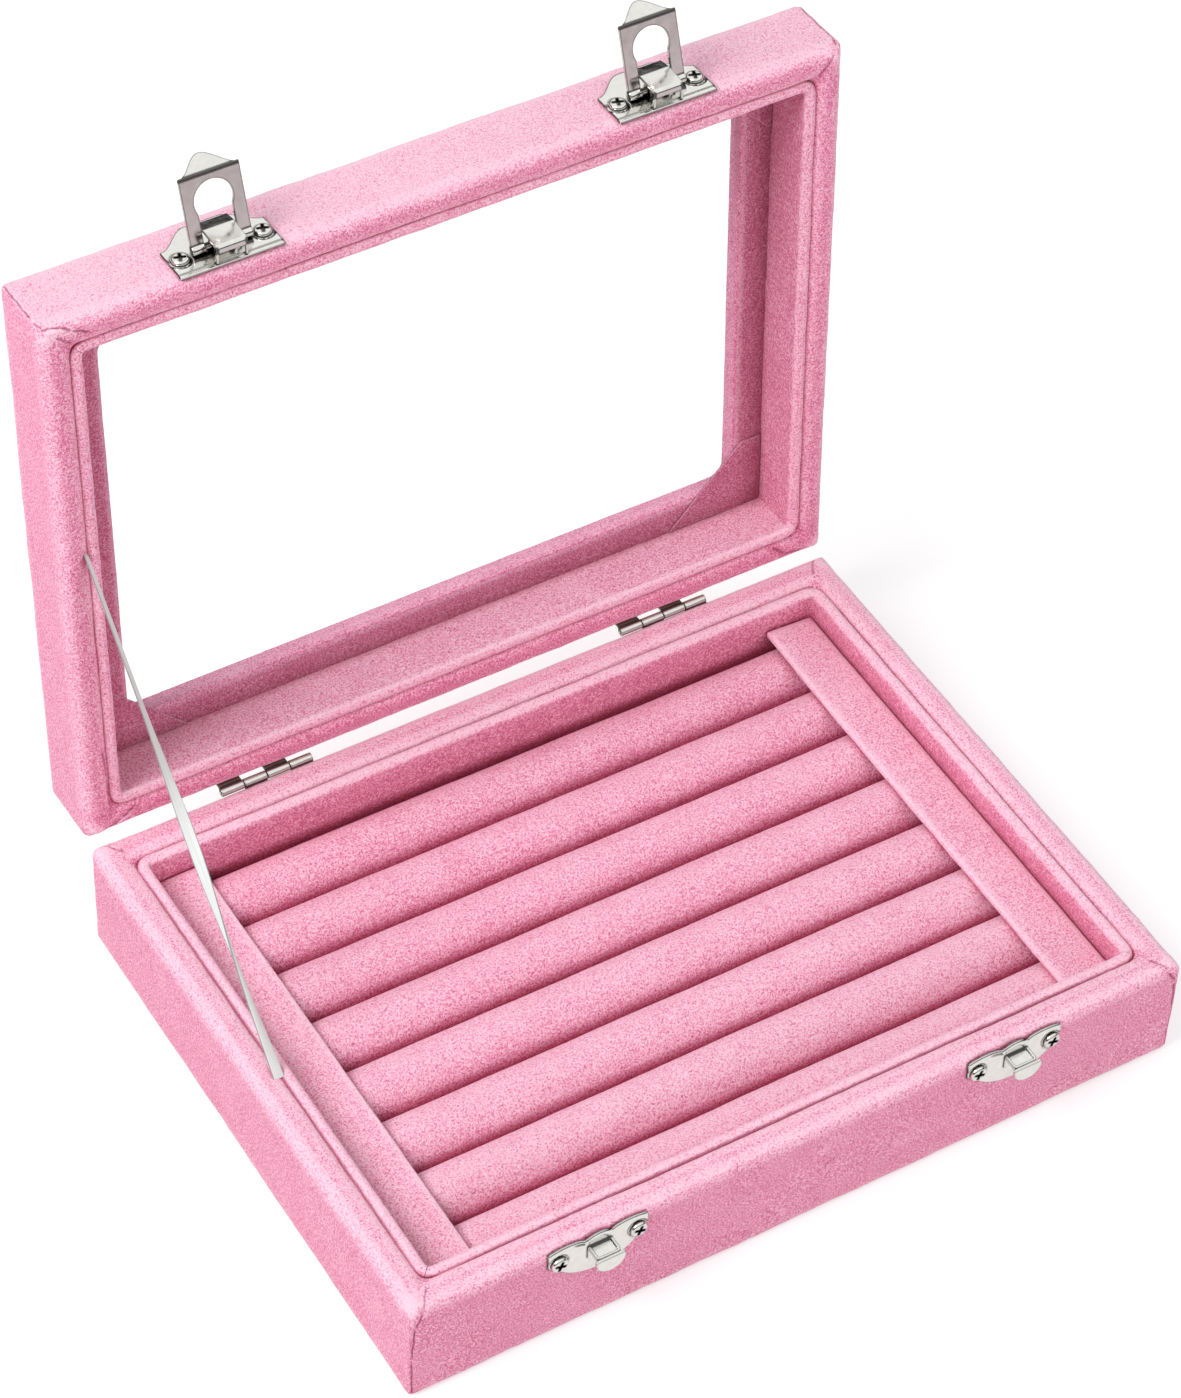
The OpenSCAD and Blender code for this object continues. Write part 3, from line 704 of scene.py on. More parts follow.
def swell(points, normals):
    # The back rim stands out a little under the hinge barrels
    rise = 0.4 * np.clip((points[:, 2] - 26.6) / 1.6, 0, 1) * np.clip((points[:, 1] - 70) / 4, 0, 1)
    points[:, 1] += rise
    points[:, 2] += rise * 0.3
    return points


reshape(base, swell)
ruffle(base, *WALL_SWELLS)
reshape(base, press_level(BASE_H, 1))
reshape(base, press_level(0, -1))
show(smooth(base), "base", VELVET)

LID_TOP = LID_Z + LID_H
CAVITY_Z = LID_TOP - TOP_BOARD
lid = block("lid_frame_velvet", BOX_W / 2, BOX_D / 2, LID_Z, LID_TOP)
shape(lid, "FACE", lambda p, n: n.z < -0.9, inset(WALL), (bpy.ops.mesh.extrude_region_move, {
    "TRANSFORM_OT_translate": {"value": (0, 0, (LID_H - TOP_BOARD) * MM)}}))


def middle_face(*levels):
    """The level faces round the Z axis at those heights"""
    return lambda p, n: (
        abs(n.z) > 0.9 and min(abs(p.z - z) for z in levels) < 0.01 and abs(p.x) < 1 and abs(p.y) < 1)


def open_window(obj, *rows):
    """Cuts the window between two level faces. A row is a face's height, width and depth."""
    for z, width, depth in rows:
        border = (depth - WINDOW_D) / 2
        shape(obj, "FACE", middle_face(z), inset(border), (bpy.ops.transform.resize, {
            "value": (WINDOW_W / (width - 2 * border), 1, 1), "center_override": (0, 0, z * MM)}))
    return shape(obj, "FACE", middle_face(*(z for z, _, _ in rows)), BRIDGE)


def window_rim(z):
    return lambda p, d: (
        abs(p.z - z) < 0.01 and abs(p.x) < WINDOW_W / 2 + 0.1 and abs(p.y) < WINDOW_D / 2 + 0.1)


# The window frame's front and left edges are pulled in by up to 2.6 mm
window_uprights = uprights(WINDOW_W, WINDOW_D, 2.7)

open_window(lid, (CAVITY_Z, INNER_W, INNER_D), (LID_TOP, BOX_W, BOX_D))
round_edges(lid, 6, (2.8, outer_rim(LID_Z)), (3, inner_rim(LID_Z)), (2, outer_rim(LID_TOP)), *WALL_UPRIGHTS,
            (WINDOW_ROUND, window_uprights), (0.9, window_rim(LID_TOP)), (0.4, window_rim(CAVITY_Z)))
# Folds of the wrapped corners on the lid's rim: an angled tuck and a pleat at the front left, a tucked
# triangle and a pleat at the back left, and short pleats on the right
FOLDS = [
    ((-99.2, -74.6, 1.4), (-94.6, -74.2, 0.3), 0.55, 0.4),
    ((-94.6, -74.2, 0.3), (-92.6, -72.6, 0), 0.55, 0.4),
    ((-92.6, -72.6, 0), (-88.2, -70.4, 0.2), 0.6, 0.42),
    ((-96.5, -72.4, 0), (-92.4, -69.1, 0.3), 0.3, 0.4), ((-97, -74.2, 0), (-91, -71.6, 0), -0.3, 0.9),
    ((-94.2, 49, 0.2), (-93.1, 58.3, 0.2), 0.4, 0.4), ((-93.1, 58.3, 0.2), (-92.6, 67.5, 0.2), 0.6, 0.42),
    ((-87.4, 69.6, 0.3), (-91, 71.8, 0), 0.5, 0.38), ((-91, 71.8, 0), (-95.4, 74.4, 0.3), 0.5, 0.38),
    ((-88.5, 70.9, 0), (-93, 73.4, 0), -0.3, 0.8),
    ((85.6, 69.2, 0.2), (89, 72.4, 0), 0.5, 0.38), ((89, 72.4, 0), (94, 73.6, 0.2), 0.45, 0.38),
    ((93, -68.5, 0.3), (97.5, -73.5, 0.4), 0.4, 0.38)]
seams = corner_seams((LID_Z + 1.5, 1.3), (LID_Z + 4, 0.6), (LID_TOP + 2, 0.5))
seams += [((a[0], a[1], LID_Z + a[2]), (b[0], b[1], LID_Z + b[2]), depth, width)
          for a, b, depth, width in FOLDS]
mitres = [((sx * (WINDOW_W / 2 + 1), sy * (WINDOW_D / 2 + 1), LID_TOP), by_corner(sx, sy, 2, 2, LID_TOP),
           0.3, 0.35) for sx, sy in CORNERS]
stuff(lid, VOXEL, seams + mitres)
# The front face, which lies facing up when the lid is open, is painted paler, as painted light; the cloth
# within 3 mm of the lid's rim is painted darker, twice as much by the hinge, as painted shade
paint_tone(lid, lambda fold, p, n: (
    fold + 0.6 * np.clip(-n[:, 1] * 3 - 2, 0, 1) * (p[:, 1] < -70)
    - (0.3 + 0.3 * (p[:, 1] > 66)) * (p[:, 2] < LID_Z + 3) * (fold > -0.1)))
crease(lid, *seams, *mitres)
crease(lid, *corner_puffs(LID_Z, (0.3, 2), (0.3, 2.2), (0.35, 2.2), (0.35, 2.4)))
ruffle(lid, *WALL_SWELLS)
reshape(lid, press_level(LID_Z, -1))
show(moved(smooth(lid), SWING), "lid", VELVET)

# ---- Wrapped liner strips, mitred at the corners ----


def liner(name, side, z, height, rim, steps):
    """One strip of the liner, rounded along its rim edges"""
    along, across = (INNER_W, INNER_D) if side % 2 == 0 else (INNER_D, INNER_W)
    obj = cuboid(name, (-along / 2 - 1, -across / 2, z), (along / 2 + 1, -across / 2 + LINER, z + height))
    round_edges(obj, 6, (1.14, lambda p, d: abs(d.x) > 0.9 and abs(p.z - rim) < 0.01))
    slice_up(obj, (0, round(along / 1.1)), (2, steps))
    down = 1 if rim > z + 1 else -1
    for depth in (1.6, 2.1, 2.7, 3.4):
        shape(obj, "VERT", anywhere, (bpy.ops.mesh.bisect, {
            "plane_co": (0, 0, (rim - down * depth) * MM), "plane_no": (0, 0, 1)}))

    def roll_over(points, normals):
        # The rim of the strip is a soft roll, which leans out over the wall's rounded edge
        share = np.clip((3 - np.abs(points[:, 2] - rim)) / 1.9, 0, 1)
        points[:, 1] += (points[:, 1] + across / 2 - LINER) * 0.32 * share * share * (3 - 2 * share)
        return points

    reshape(obj, roll_over)
    for s in SIDES:
        slant(obj, (s * along / 2, -across / 2, 0), (s, 1, 0))
    mark_folds(obj, 0.0022, 2)
    # The lid's liners, except the one by the hinge, are painted darker, as painted shade in the lid's recess
    if down < 0 and side != 2:
        paint_tone(obj, lambda fold, p, n: fold - 0.25)
    if down > 0:
        # A dark groove follows the roll's outer side; the pile below the roll lies in its shade
        groove = [(s * (along / 2 + 2), -across / 2 - 0.5, rim - 0.75) for s in SIDES]
        crease(obj, (*groove, 0.1, 0.5))
        paint_tone(obj, lambda fold, p, n: (
            fold - (0.7 if side == 1 else 0.3) * (n[:, 1] > 0.3) * np.clip((rim - 1.5 - p[:, 2]) / 5, 0, 1)))
    moved(obj, turned(90 * side, "Z"))
    reshape(obj, turn_corner(INNER_W / 2, INNER_D / 2))
    ruffle(obj, (22, 0.3), (6, 0.22))
    return smooth(obj, 60)


# The strips' rims lie a little deeper than the walls'
BASE_RIM, LID_RIM = BASE_H - 0.3, LID_Z + 0.3
for side, word in enumerate(("front", "right", "back", "left")):
    strip = liner(f"base_liner_{word}_velvet", side, TRAY_Z, BASE_RIM - TRAY_Z, BASE_RIM, 12)
    show_insert(strip, "base")
    strip = liner(f"lid_liner_{word}_velvet", side, LID_RIM, PANE_FRAME_Z - LID_RIM, LID_RIM, 7)
    show_insert(moved(strip, SWING), "lid")

# ---- Ring rolls and end boards ----

ROLLS, PITCH, ROLL_R, ROLL_Z = 8, 16.3, 8.1, 12.1
ROLL_LEN = WELL_W - 0.4

roll = rod("roll", ROLL_R, (-ROLL_LEN / 2, 0, ROLL_Z), (ROLL_LEN / 2, 0, ROLL_Z), 64)
slant(roll, (0, 0, TRAY_Z), (0, 0, -1))
round_edges(roll, 3, (0.9, lambda p, d: abs(p.x) > ROLL_LEN / 2 - 0.01 and p.z > TRAY_Z + 0.01))
slice_up(roll, (0, 110))
for i in range(ROLLS):
    piece = copied(roll, f"ring_roll_{i + 1}_velvet", shift(0, (i - (ROLLS - 1) / 2) * PITCH, 0))
    mark_folds(piece, 0, 0)
    # The rolls are painted paler towards the front and darker towards the back, as painted light and shade
    paint_tone(piece, lambda fold, p, n: fold + 0.4 * (1 - i / (ROLLS - 1)))
    ruffle(piece, (38, 0.45), (9, 0.16))
    show_insert(smooth(piece, 60), "base")
bpy.data.objects.remove(roll)

BOARD_W, BOARD_T, BOARD_L = 12.8, 1.8, WELL_D - 0.4
for side in SIDES:
    outer = side * (WELL_W / 2 - 0.2)
    inner = outer - side * BOARD_W
    board = cuboid(f"end_board_{NAMES[side]}_velvet", (min(outer, inner), -BOARD_L / 2, BOARD_Z),
                   (max(outer, inner), BOARD_L / 2, BOARD_Z + BOARD_T))
    round_edges(board, 3, (0.55, lambda p, d: abs(d.z) < 0.1), (0.5, lambda p, d: abs(d.z) > 0.9))
    slice_up(board, (1, 90), (0, 9))
    mark_folds(board, 0.0035, 1)
    # The boards are painted paler all over, as painted light on their up-facing tops
    paint_tone(board, lambda fold, p, n: fold + 0.15)

    def warp(points, normals):
        # Each board is bowed a little, and its inner back corner stands up off the rolls
        reach = np.hypot((points[:, 0] - inner) / 9, (points[:, 1] - BOARD_L / 2) / 16)
        lift = ((0.9 if side > 0 else 0.3) * np.exp(-reach ** 2)
                + 0.12 * np.cos(points[:, 1] / BOARD_L * math.pi))
        return points + np.stack([0 * lift, 0 * lift, lift], 1)

    reshape(board, warp)
    ruffle(board, (20, 0.2), (5, 0.08))
    show_insert(smooth(board, 60), "base")

# ---- Wrapped window frame and its corner gussets ----

GAP = 0.2
PANE_Z = PANE_FRAME_Z + PANE_FRAME
pane_frame = block("window_frame_velvet", INNER_W / 2 - GAP, INNER_D / 2 - GAP, PANE_FRAME_Z, PANE_Z)
open_window(pane_frame, *((z, INNER_W - 2 * GAP, INNER_D - 2 * GAP) for z in (PANE_FRAME_Z, PANE_Z)))
# The cloth is pulled further over the left and front edges than over the others
for axis, pull, half in ((0, 1.6, (WINDOW_W / 2, WINDOW_D / 2)), (1, 2.6, (WINDOW_D / 2, WINDOW_W / 2))):
    shape(pane_frame, "VERT", lambda p, n: abs(p[axis] + half[0]) < 0.1 and abs(p[1 - axis]) < half[1] + 0.1,
          (bpy.ops.transform.translate, {"value": [pull * MM * (axis == k) for k in range(3)]}))
round_edges(pane_frame, 4, (WINDOW_ROUND, window_uprights), (0.6, window_rim(PANE_FRAME_Z)),
            (0.3, window_rim(PANE_Z)))
stuff(pane_frame, 0.55)
ruffle(pane_frame, (20, 0.2), (5, 0.08))
show_insert(moved(smooth(pane_frame), SWING), "lid", SHADED_VELVET)

SUNK, REVEAL_T = 0.35, 0.65
reveal = block(
    "window_edge_velvet", WINDOW_W / 2 + SUNK, WINDOW_D / 2 + SUNK, PANE_FRAME_Z + 0.25, LID_TOP - 0.3)
shape(reveal, "FACE", lambda p, n: abs(n.z) > 0.9, inset(REVEAL_T), BRIDGE)
round_edges(reveal, 6, (WINDOW_ROUND, lambda p, d: abs(d.z) > 0.9),
            (0.25, lambda p, d: abs(d.z) < 0.1 and abs(p.x) < WINDOW_W / 2 and abs(p.y) < WINDOW_D / 2))
slice_up(reveal, (0, 90), (1, 60), (2, 6))
mark_folds(reveal, 0, 0)
ruffle(reveal, (20, 0.15), (4, 0.12))
show_insert(moved(smooth(reveal, 60), SWING), "lid", EDGE_VELVET, extra=True)

GUSSET_T = 0.4
# Each gusset has its own cut: its lengths along the front or back and along the side of the lid
GUSSETS = ((18.2, 17.4), (18.2, 17.4), (25.8, 20.3), (23.4, 22.2))
for i, ((sx, sy), (along, across)) in enumerate(zip(IN_TURN, GUSSETS)):
    x, y = sx * (WELL_W / 2 - GAP), sy * (WELL_D / 2 - GAP)
    low = (min(x, x - sx * along), min(y, y - sy * across), PANE_FRAME_Z - GUSSET_T)
    high = (max(x, x - sx * along), max(y, y - sy * across), PANE_FRAME_Z)
    gusset = cuboid(f"corner_gusset_{i + 1}_velvet", low, high)
    slice_up(gusset, (0, 40), (1, 36))
    slant(gusset, (x - sx * along, y, 0), (-sx * across, -sy * along, 0))

    def stretch(points, normals):
        # The free edge sags towards the glass where it crosses the window's corner
        out = np.array([-sx * across, -sy * along]) / math.hypot(along, across)
        inside = -((points[:, 0] - x + sx * along) * out[0] + (points[:, 1] - y) * out[1])
        u, v = np.abs((points[:, 0] - x) / along), np.abs((points[:, 1] - y) / across)
        share = u / np.maximum(u + v, 0.01)
        swell = np.exp(-(inside / 3.2) ** 2) * np.clip(1 - (2 * share - 1) ** 2 * 3.2, 0, 1)
        return points + np.stack([0 * swell, 0 * swell, swell * 0.15], 1)

    reshape(gusset, stretch)
    soften(gusset, 0.15, 2, 50)
    mark_folds(gusset, 0.004, 0)
    show_insert(moved(gusset, SWING), "lid", SHADED_VELVET)

# ---- Ribbon stay ----

FOOT, HEAD = (-93.8, -5, 29.45), (-93.8, 81.92, 116.36)
RIBBON_W, RIBBON_T = 3, 0.3
RIBBON_LEN = math.dist(FOOT, HEAD)
ribbon = grid_sheet("ribbon_stay_satin", 9, 121)


def twist(points, normals):
    """Lays the grid from the foot to the head, with more than half a turn and a slight curl across"""
    u = points[:, 0] / np.abs(points[:, 0]).max()
    t = points[:, 2] / np.abs(points[:, 2]).max() / 2 + 0.5
    way = np.clip((0.75 - t) / 0.8, 0, 1)
    turn = np.radians(37 + 225 * way * way * (3 - 2 * way))
    run = np.array([HEAD[1] - FOOT[1], HEAD[2] - FOOT[2]]) / RIBBON_LEN
    across = u * RIBBON_W / 2 * (0.78 + 0.14 * np.sin(math.pi * t) + 0.2 * np.exp(-t * 14))
    curl = (u * u - 0.4) * 0.75 * np.exp(-((t - 0.25) / 0.16) ** 2)
    aside = across * np.cos(turn) - curl * np.sin(turn)
    return np.stack([
        FOOT[0] + across * np.sin(turn) + curl * np.cos(turn),
        FOOT[1] + run[0] * RIBBON_LEN * t + aside * run[1],
        FOOT[2] + run[1] * RIBBON_LEN * t - aside * run[0]], 1)


reshape(ribbon, twist)
finish(ribbon, "SOLIDIFY", thickness=RIBBON_T * MM, offset=0)
finish(ribbon, "SUBSURF", levels=1, render_levels=1)
smooth(ribbon, 60)
ribbon.data.materials.append(SATIN)
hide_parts("ribbon_stay")
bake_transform(ribbon)

# ---- Screws and nails ----


def screw_head():
    """A pan head with a cross recess, facing -Y, with its underside at the origin"""
    head = rod("screw_head", 2.05, (0, 0.3, 0), (0, -0.9, 0), 48)
    round_edges(head, 4, (0.6, lambda p, d: p.y < -0.89 and math.hypot(p.x, p.z) > 2))
    for a in (20, 110):
        slot = cuboid("slot", (-1.35, -1.2, -0.34), (1.35, -0.2, 0.34))
        round_edges(slot, 2, (0.08, anywhere))
        cut(head, moved(slot, turned(a, "Y")))
    return smooth(head, 40)


def nail_head():
    """A low domed head, facing +Y, with its underside at the origin"""
    head = rod("nail_head", 1.3, (0, 0, 0), (0, 0.5, 0), 32)
    round_edges(head, 4, (0.42, lambda p, d: p.y > 0.49 and math.hypot(p.x, p.z) > 1.2))
    return smooth(head, 50)


SCREWS = [f * FITTING_X + s * SCREW_X for f in SIDES for s in SIDES]
NAILS = [f * FITTING_X + s * NAIL_X for f in SIDES for s in SIDES]
head, nail = screw_head(), nail_head()
WALL_Y = -BOX_D / 2
FIXINGS = (
    ("catch_screw_{}_cross", "base", head, SCREWS, WALL_Y - PLATE, CATCH_Z - CATCH_SCREW_DROP),
    ("latch_screw_{}_cross", "lid", head, SCREWS, WALL_Y - PLATE, LID_Z + LATCH_SCREW_H),
    ("base_hinge_nail_{}_dome", "base", nail, NAILS, -WALL_Y + LEAF_T, HINGE_Z - NAIL_DROP),
    ("lid_hinge_nail_{}_dome", "lid", nail, NAILS, -WALL_Y + LEAF_T, HINGE_Z + NAIL_DROP))
for i in range(4):
    for title, body, kind, xs, y, z in FIXINGS:
        place = shift(xs[i], y, z)
        piece = copied(kind, title.format(i + 1), SWING @ place if body == "lid" else place)
        show_metal(piece, body)
bpy.data.objects.remove(head)
bpy.data.objects.remove(nail)

# ---- Catches ----


def arc(x, width, sag):
    """Height at x over the ends of an arc with that width and sagitta"""
    r = (width * width / 4 + sag * sag) / (2 * sag)
    return math.sqrt(max(r * r - x * x, 0)) - r + sag


def ogee(x, half, height, flat=0):
    return height * (1 + math.cos(math.pi * min(max(abs(x) - flat, 0) / (half - flat), 1))) / 2


HALF, HUMP, NOTCH, BELLY = 12.5, 3.4, 0.8, 9.9
WING = HALF - HUMP


def catch_top(x):
    if abs(x) < HUMP:
        return arc(x, 2 * HUMP, 0.4 + NOTCH) - NOTCH
    return arc(abs(x) - HUMP - WING / 2, WING, NOTCH) - NOTCH


def catch_bottom(x):
    if abs(x) < BELLY:
        return -7.2 - arc(x, 2 * BELLY, 4.5)
    return -5.5 - 1.7 * (HALF - abs(x)) / (HALF - BELLY)


def rolled(rim, depth, width):
    """How far an edge is rolled down at a distance from the rim"""
    share = min(max(rim / width, 0), 1)
    return depth * (1 - math.sqrt(1 - (1 - share) ** 2))


def seat(x, z):
    """The dip round a screw head whose middle is at that height"""
    return 0.42 * math.exp(-((math.hypot(abs(x) - SCREW_X, z) - 2.35) / 0.3) ** 2)


def catch_relief(x, z, rim, below_top):
    """The plate's face: rolled edges, a bevelled band under the scallops, a raised middle, screw seats"""
    boss = 0.35 * math.exp(-(max(abs(x) - 2.6, 0) / 1.1) ** 2) * min(max((z + 11) / 3, 0), 1)
    band = 0.38 * max(1 - below_top / 1.1, 0)
    return boss - rolled(rim, 0.3, 0.5) - band - seat(x, z + CATCH_SCREW_DROP)


def spaced(points, step):
    """A list of places that includes each given point, with steps no longer than step between them"""
    out = [points[0]]
    for a, b in zip(points, points[1:]):
        n = max(1, math.ceil((b - a) / step))
        out += [a + (b - a) * i / n for i in range(1, n + 1)]
    return out


def both_ways(*points):
    """Places no more than 0.3 apart from side to side, with each given point on both sides"""
    return spaced(sorted({s * p for p in points for s in SIDES}), 0.3)


CATCH_XS = both_ways(0, 1.7, 2.9, HUMP, 3.9, BELLY, 11.9, 12.2, HALF)
catch = pressed_plate("catch", CATCH_XS, catch_top, catch_bottom, 1.1, PLATE, catch_relief)
ledge = cuboid("ledge", (-3.1, -4.5, -3.2), (3.1, 0.2, -2.4))
round_edges(ledge, 4, (0.9, lambda p, d: abs(d.z) > 0.9 and p.y < -4))
shape(ledge, "FACE", lambda p, n: n.z > 0.9, inset(0.55), inset(0.3, -0.35))
soften(ledge, 0.18, 3)
tongue = rod("tongue", 3.7, (0, -4.5, -3.1), (0, -5.3, -3.1), 64)
slant(tongue, (0, 0, -2.4), (0, 0, 1))
soften(tongue, 0.22, 3)
cheeks = cuboid("cheek", (-3.1, -0.9, -6.4), (3.1, 0.3, -2.9))
soften(cheeks, 0.4, 3)
join(catch, ledge, tongue, cheeks)
moved(catch, shift(0, WALL_Y - PLATE, CATCH_Z))
for side in SIDES:
    piece = copied(catch, f"catch_plate_{NAMES[side]}_pressed", shift(side * FITTING_X))
    show_metal(true_flats(piece), "base")
bpy.data.objects.remove(catch)

# ---- Latch plates with their bridges ----


def strap(name, width, line, thickness, bend):
    """A strip of sheet bent along a line of points in Y and Z, with rounded bends"""
    obj = grid_sheet(name, 2, len(line))
    order = np.argsort(np.argsort(numbers(obj.data.vertices, "co")[:, 2], kind="stable"), kind="stable") // 2
    reshape(obj, lambda p, n: np.array(
        [[math.copysign(width / 2, x), *line[order[i]]] for i, (x, _, _) in enumerate(p)]))
    inner = line[1:-1]
    shape(obj, "EDGE", lambda p, d: abs(d.x) > 0.9 and any(math.dist((p.y, p.z), q) < 0.05 for q in inner),
          (bpy.ops.mesh.bevel, {"offset": bend * MM, "segments": 5, "affect": "EDGES"}))
    finish(obj, "SOLIDIFY", thickness=thickness * MM, offset=0, use_even_offset=True)
    return soften(obj, 0.14, 2)


PIVOT_H, PIVOT_OUT = 6, 2.1
LATCH_XS = both_ways(0, 4, 11.9, 12.2, HALF)
latch = pressed_plate("latch", LATCH_XS, lambda x: 10.6 + ogee(x, HALF, 5.6, 4), lambda x: 0.5, 1.2, PLATE,
                      lambda x, z, rim, below_top: (
                          -rolled(rim, 0.35, 0.5) - (0.3 if z < 1.6 else 0) - seat(x, z - LATCH_SCREW_H)))
BRIDGE_LINE = ((-2.9, 4.7), (-3.9, 4.7), (-4.6, 0.6), (-4.0, -4.8), (-2.6, -5.1))
bridge = strap("bridge", 7.6, [(y, PIVOT_H + z) for y, z in BRIDGE_LINE], 0.7, 0.5)
more = []
for s in SIDES:
    post = cuboid("post", (s * 3.5 - 0.3, -3.9, PIVOT_H - 5.2), (s * 3.5 + 0.3, 0.1, PIVOT_H - 4.5))
    ear = rod("ear", 1.5, (s * 2.1 - 0.4, -1.3, PIVOT_H), (s * 2.1 + 0.4, -1.3, PIVOT_H), 32)
    foot = cuboid("foot", (s * 2.1 - 0.4, -1.3, PIVOT_H - 1.5), (s * 2.1 + 0.4, 0.1, PIVOT_H + 1.5))
    more += [soften(post, 0.12), soften(ear, 0.12), soften(foot, 0.1)]
join(latch, bridge, *more)
moved(latch, shift(0, WALL_Y - PLATE, LID_Z))

# ---- Hasps ----

HASP_W, HASP_LEN, LEG_W, STRAP = 14.4, 16.2, 3.1, 0.7
# Degrees: how far the tab is bent out, and how far the hasp swings down to the catch
TAB_BEND, HASP_OPEN = 56, 106
OPENING_R, SLOT_W, OPENING_S = 4.65, 8.2, 9.85
hasp = cuboid("hasp", (-HASP_W / 2, -STRAP / 2, 0), (HASP_W / 2, STRAP / 2, HASP_LEN))
cut(hasp, rod("opening", OPENING_R, (0, -2, OPENING_S), (0, 2, OPENING_S), 64),
    cuboid("slot", (-SLOT_W / 2, -2, -2), (SLOT_W / 2, 2, OPENING_S)))
soften(hasp, 0.2, 3, 40)
LEG_X = (HASP_W - LEG_W) / 2
barrels = [rod("barrel", 1.2, (s * LEG_X - LEG_W / 2, 0, 0), (s * LEG_X + LEG_W / 2, 0, 0))
           for s in SIDES]
for barrel in barrels:
    soften(barrel, 0.2, 3)
pivot = soften(rod("pivot", 0.8, (-LEG_X, 0, 0), (LEG_X, 0, 0), 24), 0.1)
TAB_XS = spaced([-7.2, -6.9, 6.9, 7.2], 0.5)
tab = pressed_plate("tab", TAB_XS, lambda x: ogee(x, HASP_W / 2, 5) + 0.02, lambda x: -0.18, 0.02, STRAP,
                    lambda x, z, rim, below_top: 0)
soften(tab, 0.2, 3, 40)
moved(tab, shift(0, -STRAP / 2, 0))
moved(tab, shift(0, 0, HASP_LEN) @ turned(-TAB_BEND, "X"))
bend = soften(rod("bend", STRAP / 2, (-HASP_W / 2, 0, HASP_LEN), (HASP_W / 2, 0, HASP_LEN), 16), 0.1)
join(hasp, *barrels, pivot, tab, bend)
HASP_TURN = turned(180 - HASP_OPEN, "X")
for side in SIDES:
    name = NAMES[side]
    piece = copied(latch, f"latch_plate_{name}_pressed", SWING @ shift(side * FITTING_X))
    show_metal(true_flats(piece), "lid")
    place = shift(side * FITTING_X, WALL_Y - PIVOT_OUT, LID_Z + PIVOT_H)
    piece = copied(hasp, f"hasp_{name}_bent", SWING @ place @ HASP_TURN)
    show_metal(true_flats(piece), f"hasp_{name}")
bpy.data.objects.remove(latch)
bpy.data.objects.remove(hasp)

# ---- Hinges ----

HINGE_W, LEAF_H, LEAF_EDGE, BARREL_R, PIN_R = 24, 9, 2.8, 1.1, 0.5
KNUCKLE, KNUCKLE_GAP = 6, 0.2
KNUCKLE_LEN = KNUCKLE - KNUCKLE_GAP


def hinge_leaf(parity):
    """A leaf below its pin, at the origin, with every second knuckle rolled from it"""
    leaf = cuboid("leaf", (-HINGE_W / 2, 0, -LEAF_H), (HINGE_W / 2, LEAF_T, -LEAF_EDGE))
    round_edges(leaf, 3, (0.8, lambda p, d: abs(d.y) > 0.9 and p.z < -LEAF_H + 0.1))
    soften(leaf, 0.15)
    more = []
    for i in range(parity, 4, 2):
        x = i * KNUCKLE - (HINGE_W - KNUCKLE_GAP) / 2
        neck = cuboid("neck", (x, 0, -LEAF_EDGE - 0.2), (x + KNUCKLE_LEN, LEAF_T, 0))
        tube = rod("knuckle", BARREL_R, (x, BARREL_R, 0), (x + KNUCKLE_LEN, BARREL_R, 0), 40)
        shape(tube, "FACE", lambda p, n: abs(n.x) > 0.9, (bpy.ops.mesh.delete, {"type": "FACE"}))
        finish(tube, "SOLIDIFY", thickness=(BARREL_R - PIN_R - 0.05) * MM, offset=-1)
        more += [soften(neck, 0.1), soften(tube, 0.16, 3)]
    return join(leaf, *more)


for side in SIDES:
    place = shift(side * FITTING_X, -WALL_Y, HINGE_Z)
    leaf = moved(hinge_leaf(1), place)
    show_metal(named(leaf, f"hinge_base_leaf_{NAMES[side]}_rolled"), "base", HINGE_NICKEL)
    leaf = moved(hinge_leaf(0), SWING @ place @ Matrix.Diagonal((1, 1, -1, 1)))
    shape(leaf, "FACE", anywhere, (bpy.ops.mesh.normals_make_consistent, {"inside": False}))
    show_metal(named(leaf, f"hinge_lid_leaf_{NAMES[side]}_rolled"), "lid", HINGE_NICKEL)

# ---- Solids that keep their own shape ----


def dress(names, material):
    for name in names:
        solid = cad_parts[name]
        solid.data.materials.clear()
        solid.data.materials.append(material)


dress(["bottom_board", "tray_card"], BOARD)
dress(["glass_pane"], GLASS)
dress(["hinge_pin_left", "hinge_pin_right"], NICKEL)

# ---- Floor, light and background ----


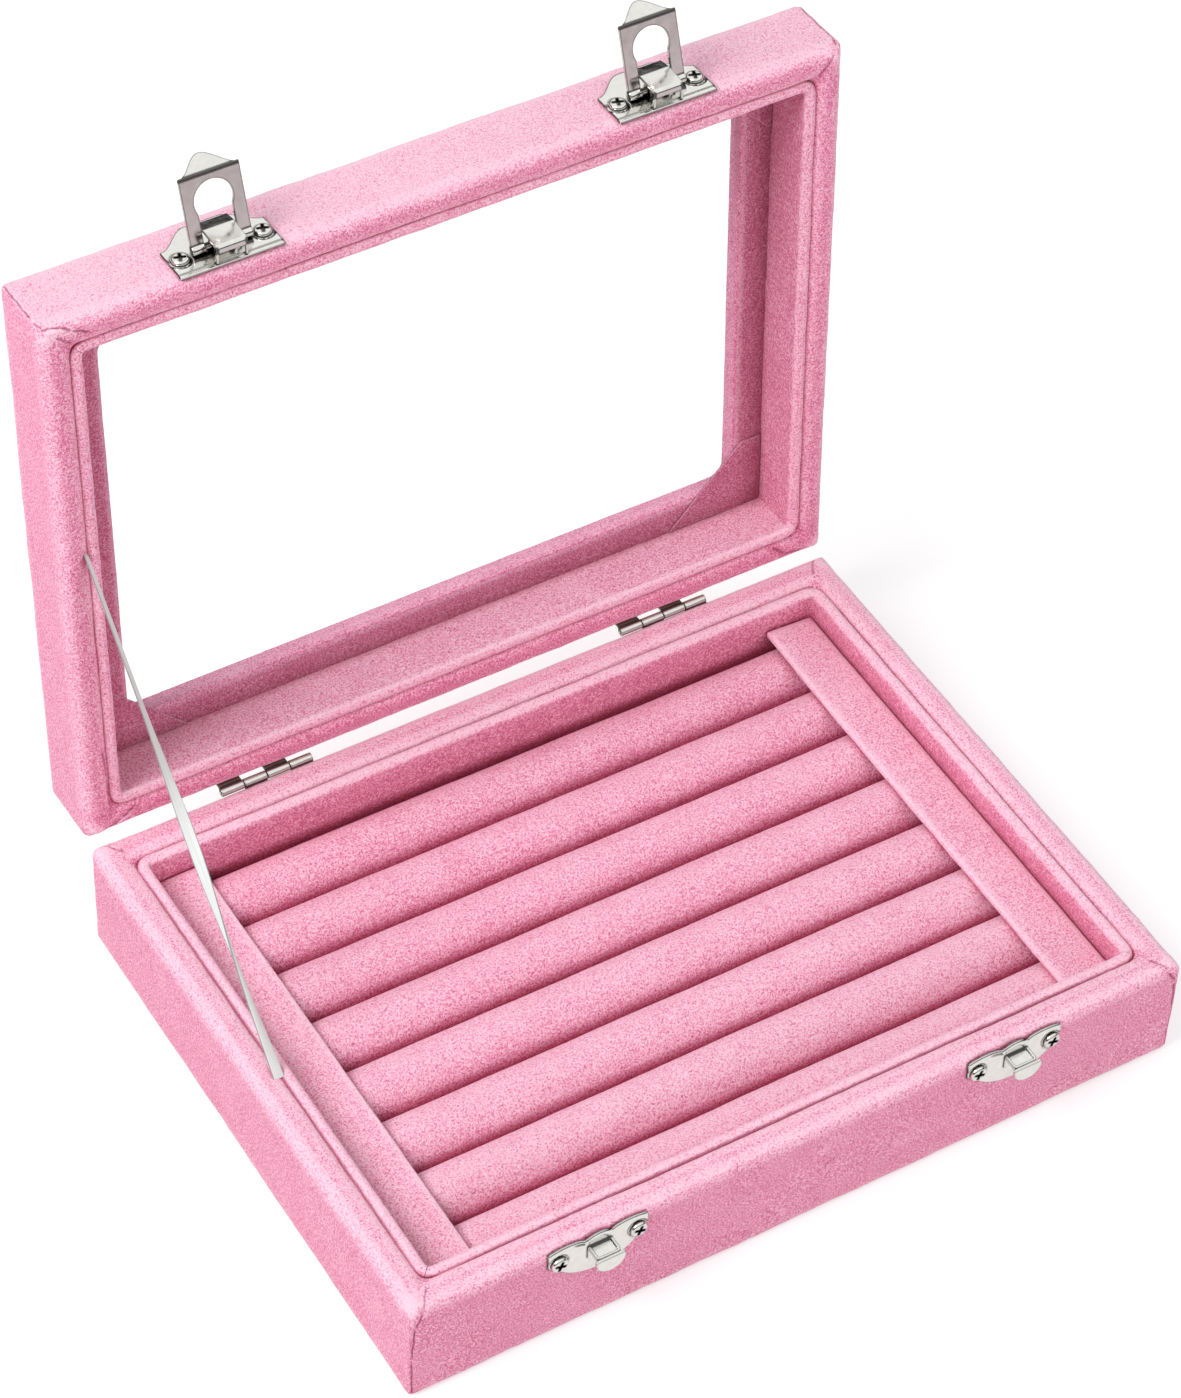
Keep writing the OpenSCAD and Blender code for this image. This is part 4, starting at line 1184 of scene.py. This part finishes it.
def white_paper():
    """Matt white paper that the eye sees as white, also through the glass and, near the box, in the metal; it
    also glows a little onto the box, as painted light
    """
    made, tree, skin = new_material("matt_white_paper")
    feed(skin, {"Base Color": colour("#c4c4c4"), "Roughness": 1})
    rays = add_node(tree, "LightPath").outputs
    seen = maths(tree, "MAXIMUM", rays["Is Camera Ray"], rays["Is Glossy Ray"])
    seen = maths(tree, "MAXIMUM", seen, rays["Is Transmission Ray"])
    glow = add_node(tree, "Emission", {"Strength": 0.58})
    # The paper glows a little for light that bounces from it onto the box: painted light
    none = add_node(tree, "Emission", {"Strength": 0.25})
    lift = add_node(tree, "MixShader", {0: seen, 1: none.outputs[0], 2: glow.outputs[0]})
    both = add_node(tree, "AddShader", {0: skin.outputs["BSDF"], 1: lift.outputs[0]})
    # Painted reflection: the metal sees the paper dimmed to a grey-green to pink glow, more so the further it
    # lies from the box
    place = add_node(tree, "TexCoord").outputs["Object"]
    away = add_node(tree, "VectorMath", {0: place}, operation="LENGTH").outputs["Value"]
    far = remap(tree, away, 0.3, 0.6, 0.4, 1)
    mirrored = maths(tree, "SUBTRACT", rays["Is Glossy Ray"], rays["Is Transmission Ray"], use_clamp=True)
    tint = mix(tree, far, colour("#c0c8c0"), colour("#d8cad0"))
    painted_reflection = add_node(tree, "Emission", {"Color": tint})
    far = maths(tree, "MULTIPLY", far, mirrored)
    both = add_node(tree, "MixShader", {0: far, 1: both.outputs[0], 2: painted_reflection.outputs[0]})
    feed(tree.nodes["Material Output"], {"Surface": both.outputs[0]})
    return made


bpy.ops.mesh.primitive_plane_add(size=8, location=(0, 0, -0.0002))
floor = settle("floor")
floor.data.materials.append(white_paper())

world = bpy.data.worlds.new("studio")
bpy.context.scene.world = world
world.use_nodes = True
tree = world.node_tree
sky = feed(tree.nodes["Background"], {"Color": (1, 1, 1, 1), "Strength": 0.5})
# The eye and the glass see plain white; the metal alone sees a white studio above a dark strip of far wall, a
# painted reflection
height = split(tree, add_node(tree, "TexCoord").outputs["Generated"], "Z")
wall = add_node(tree, "ValToRGB", {"Fac": height})
wall.color_ramp.elements[0].position, wall.color_ramp.elements[0].color = 0.3, colour("#2c2929")
wall.color_ramp.elements[1].position, wall.color_ramp.elements[1].color = 0.46, colour("#ffffff")
studio = add_node(tree, "Background", {"Color": wall.outputs["Color"]})
white = add_node(tree, "Background", {"Color": (1, 1, 1, 1)})
rays = add_node(tree, "LightPath").outputs
for ray, seen in (("Is Glossy Ray", studio), ("Is Transmission Ray", white), ("Is Camera Ray", white)):
    sky = add_node(tree, "MixShader", {0: rays[ray], 1: sky.outputs[0], 2: seen.outputs[0]})
feed(tree.nodes["World Output"], {"Surface": sky.outputs[0]})


def softbox(name, place, aim, size, power):
    bpy.ops.object.light_add(type="AREA", location=place)
    lamp = bpy.context.object
    lamp.name = name
    lamp.rotation_euler = (Vector(aim) - Vector(place)).to_track_quat("-Z", "Y").to_euler()
    lamp.data.shape = "SQUARE"
    lamp.data.size = size
    lamp.data.energy = power
    return lamp


softbox("key_light", (-1.0, 0.05, 1.2), (0, 0, 0.05), 0.8, 18.6)
fill = softbox("front_fill", (0.5, -1.4, 0.25), (0, 0, 0.03), 1.1, 10.2)
# The metal doesn't mirror the fill
fill.visible_glossy = False

view = bpy.context.scene.view_settings
view.view_transform = "Standard"
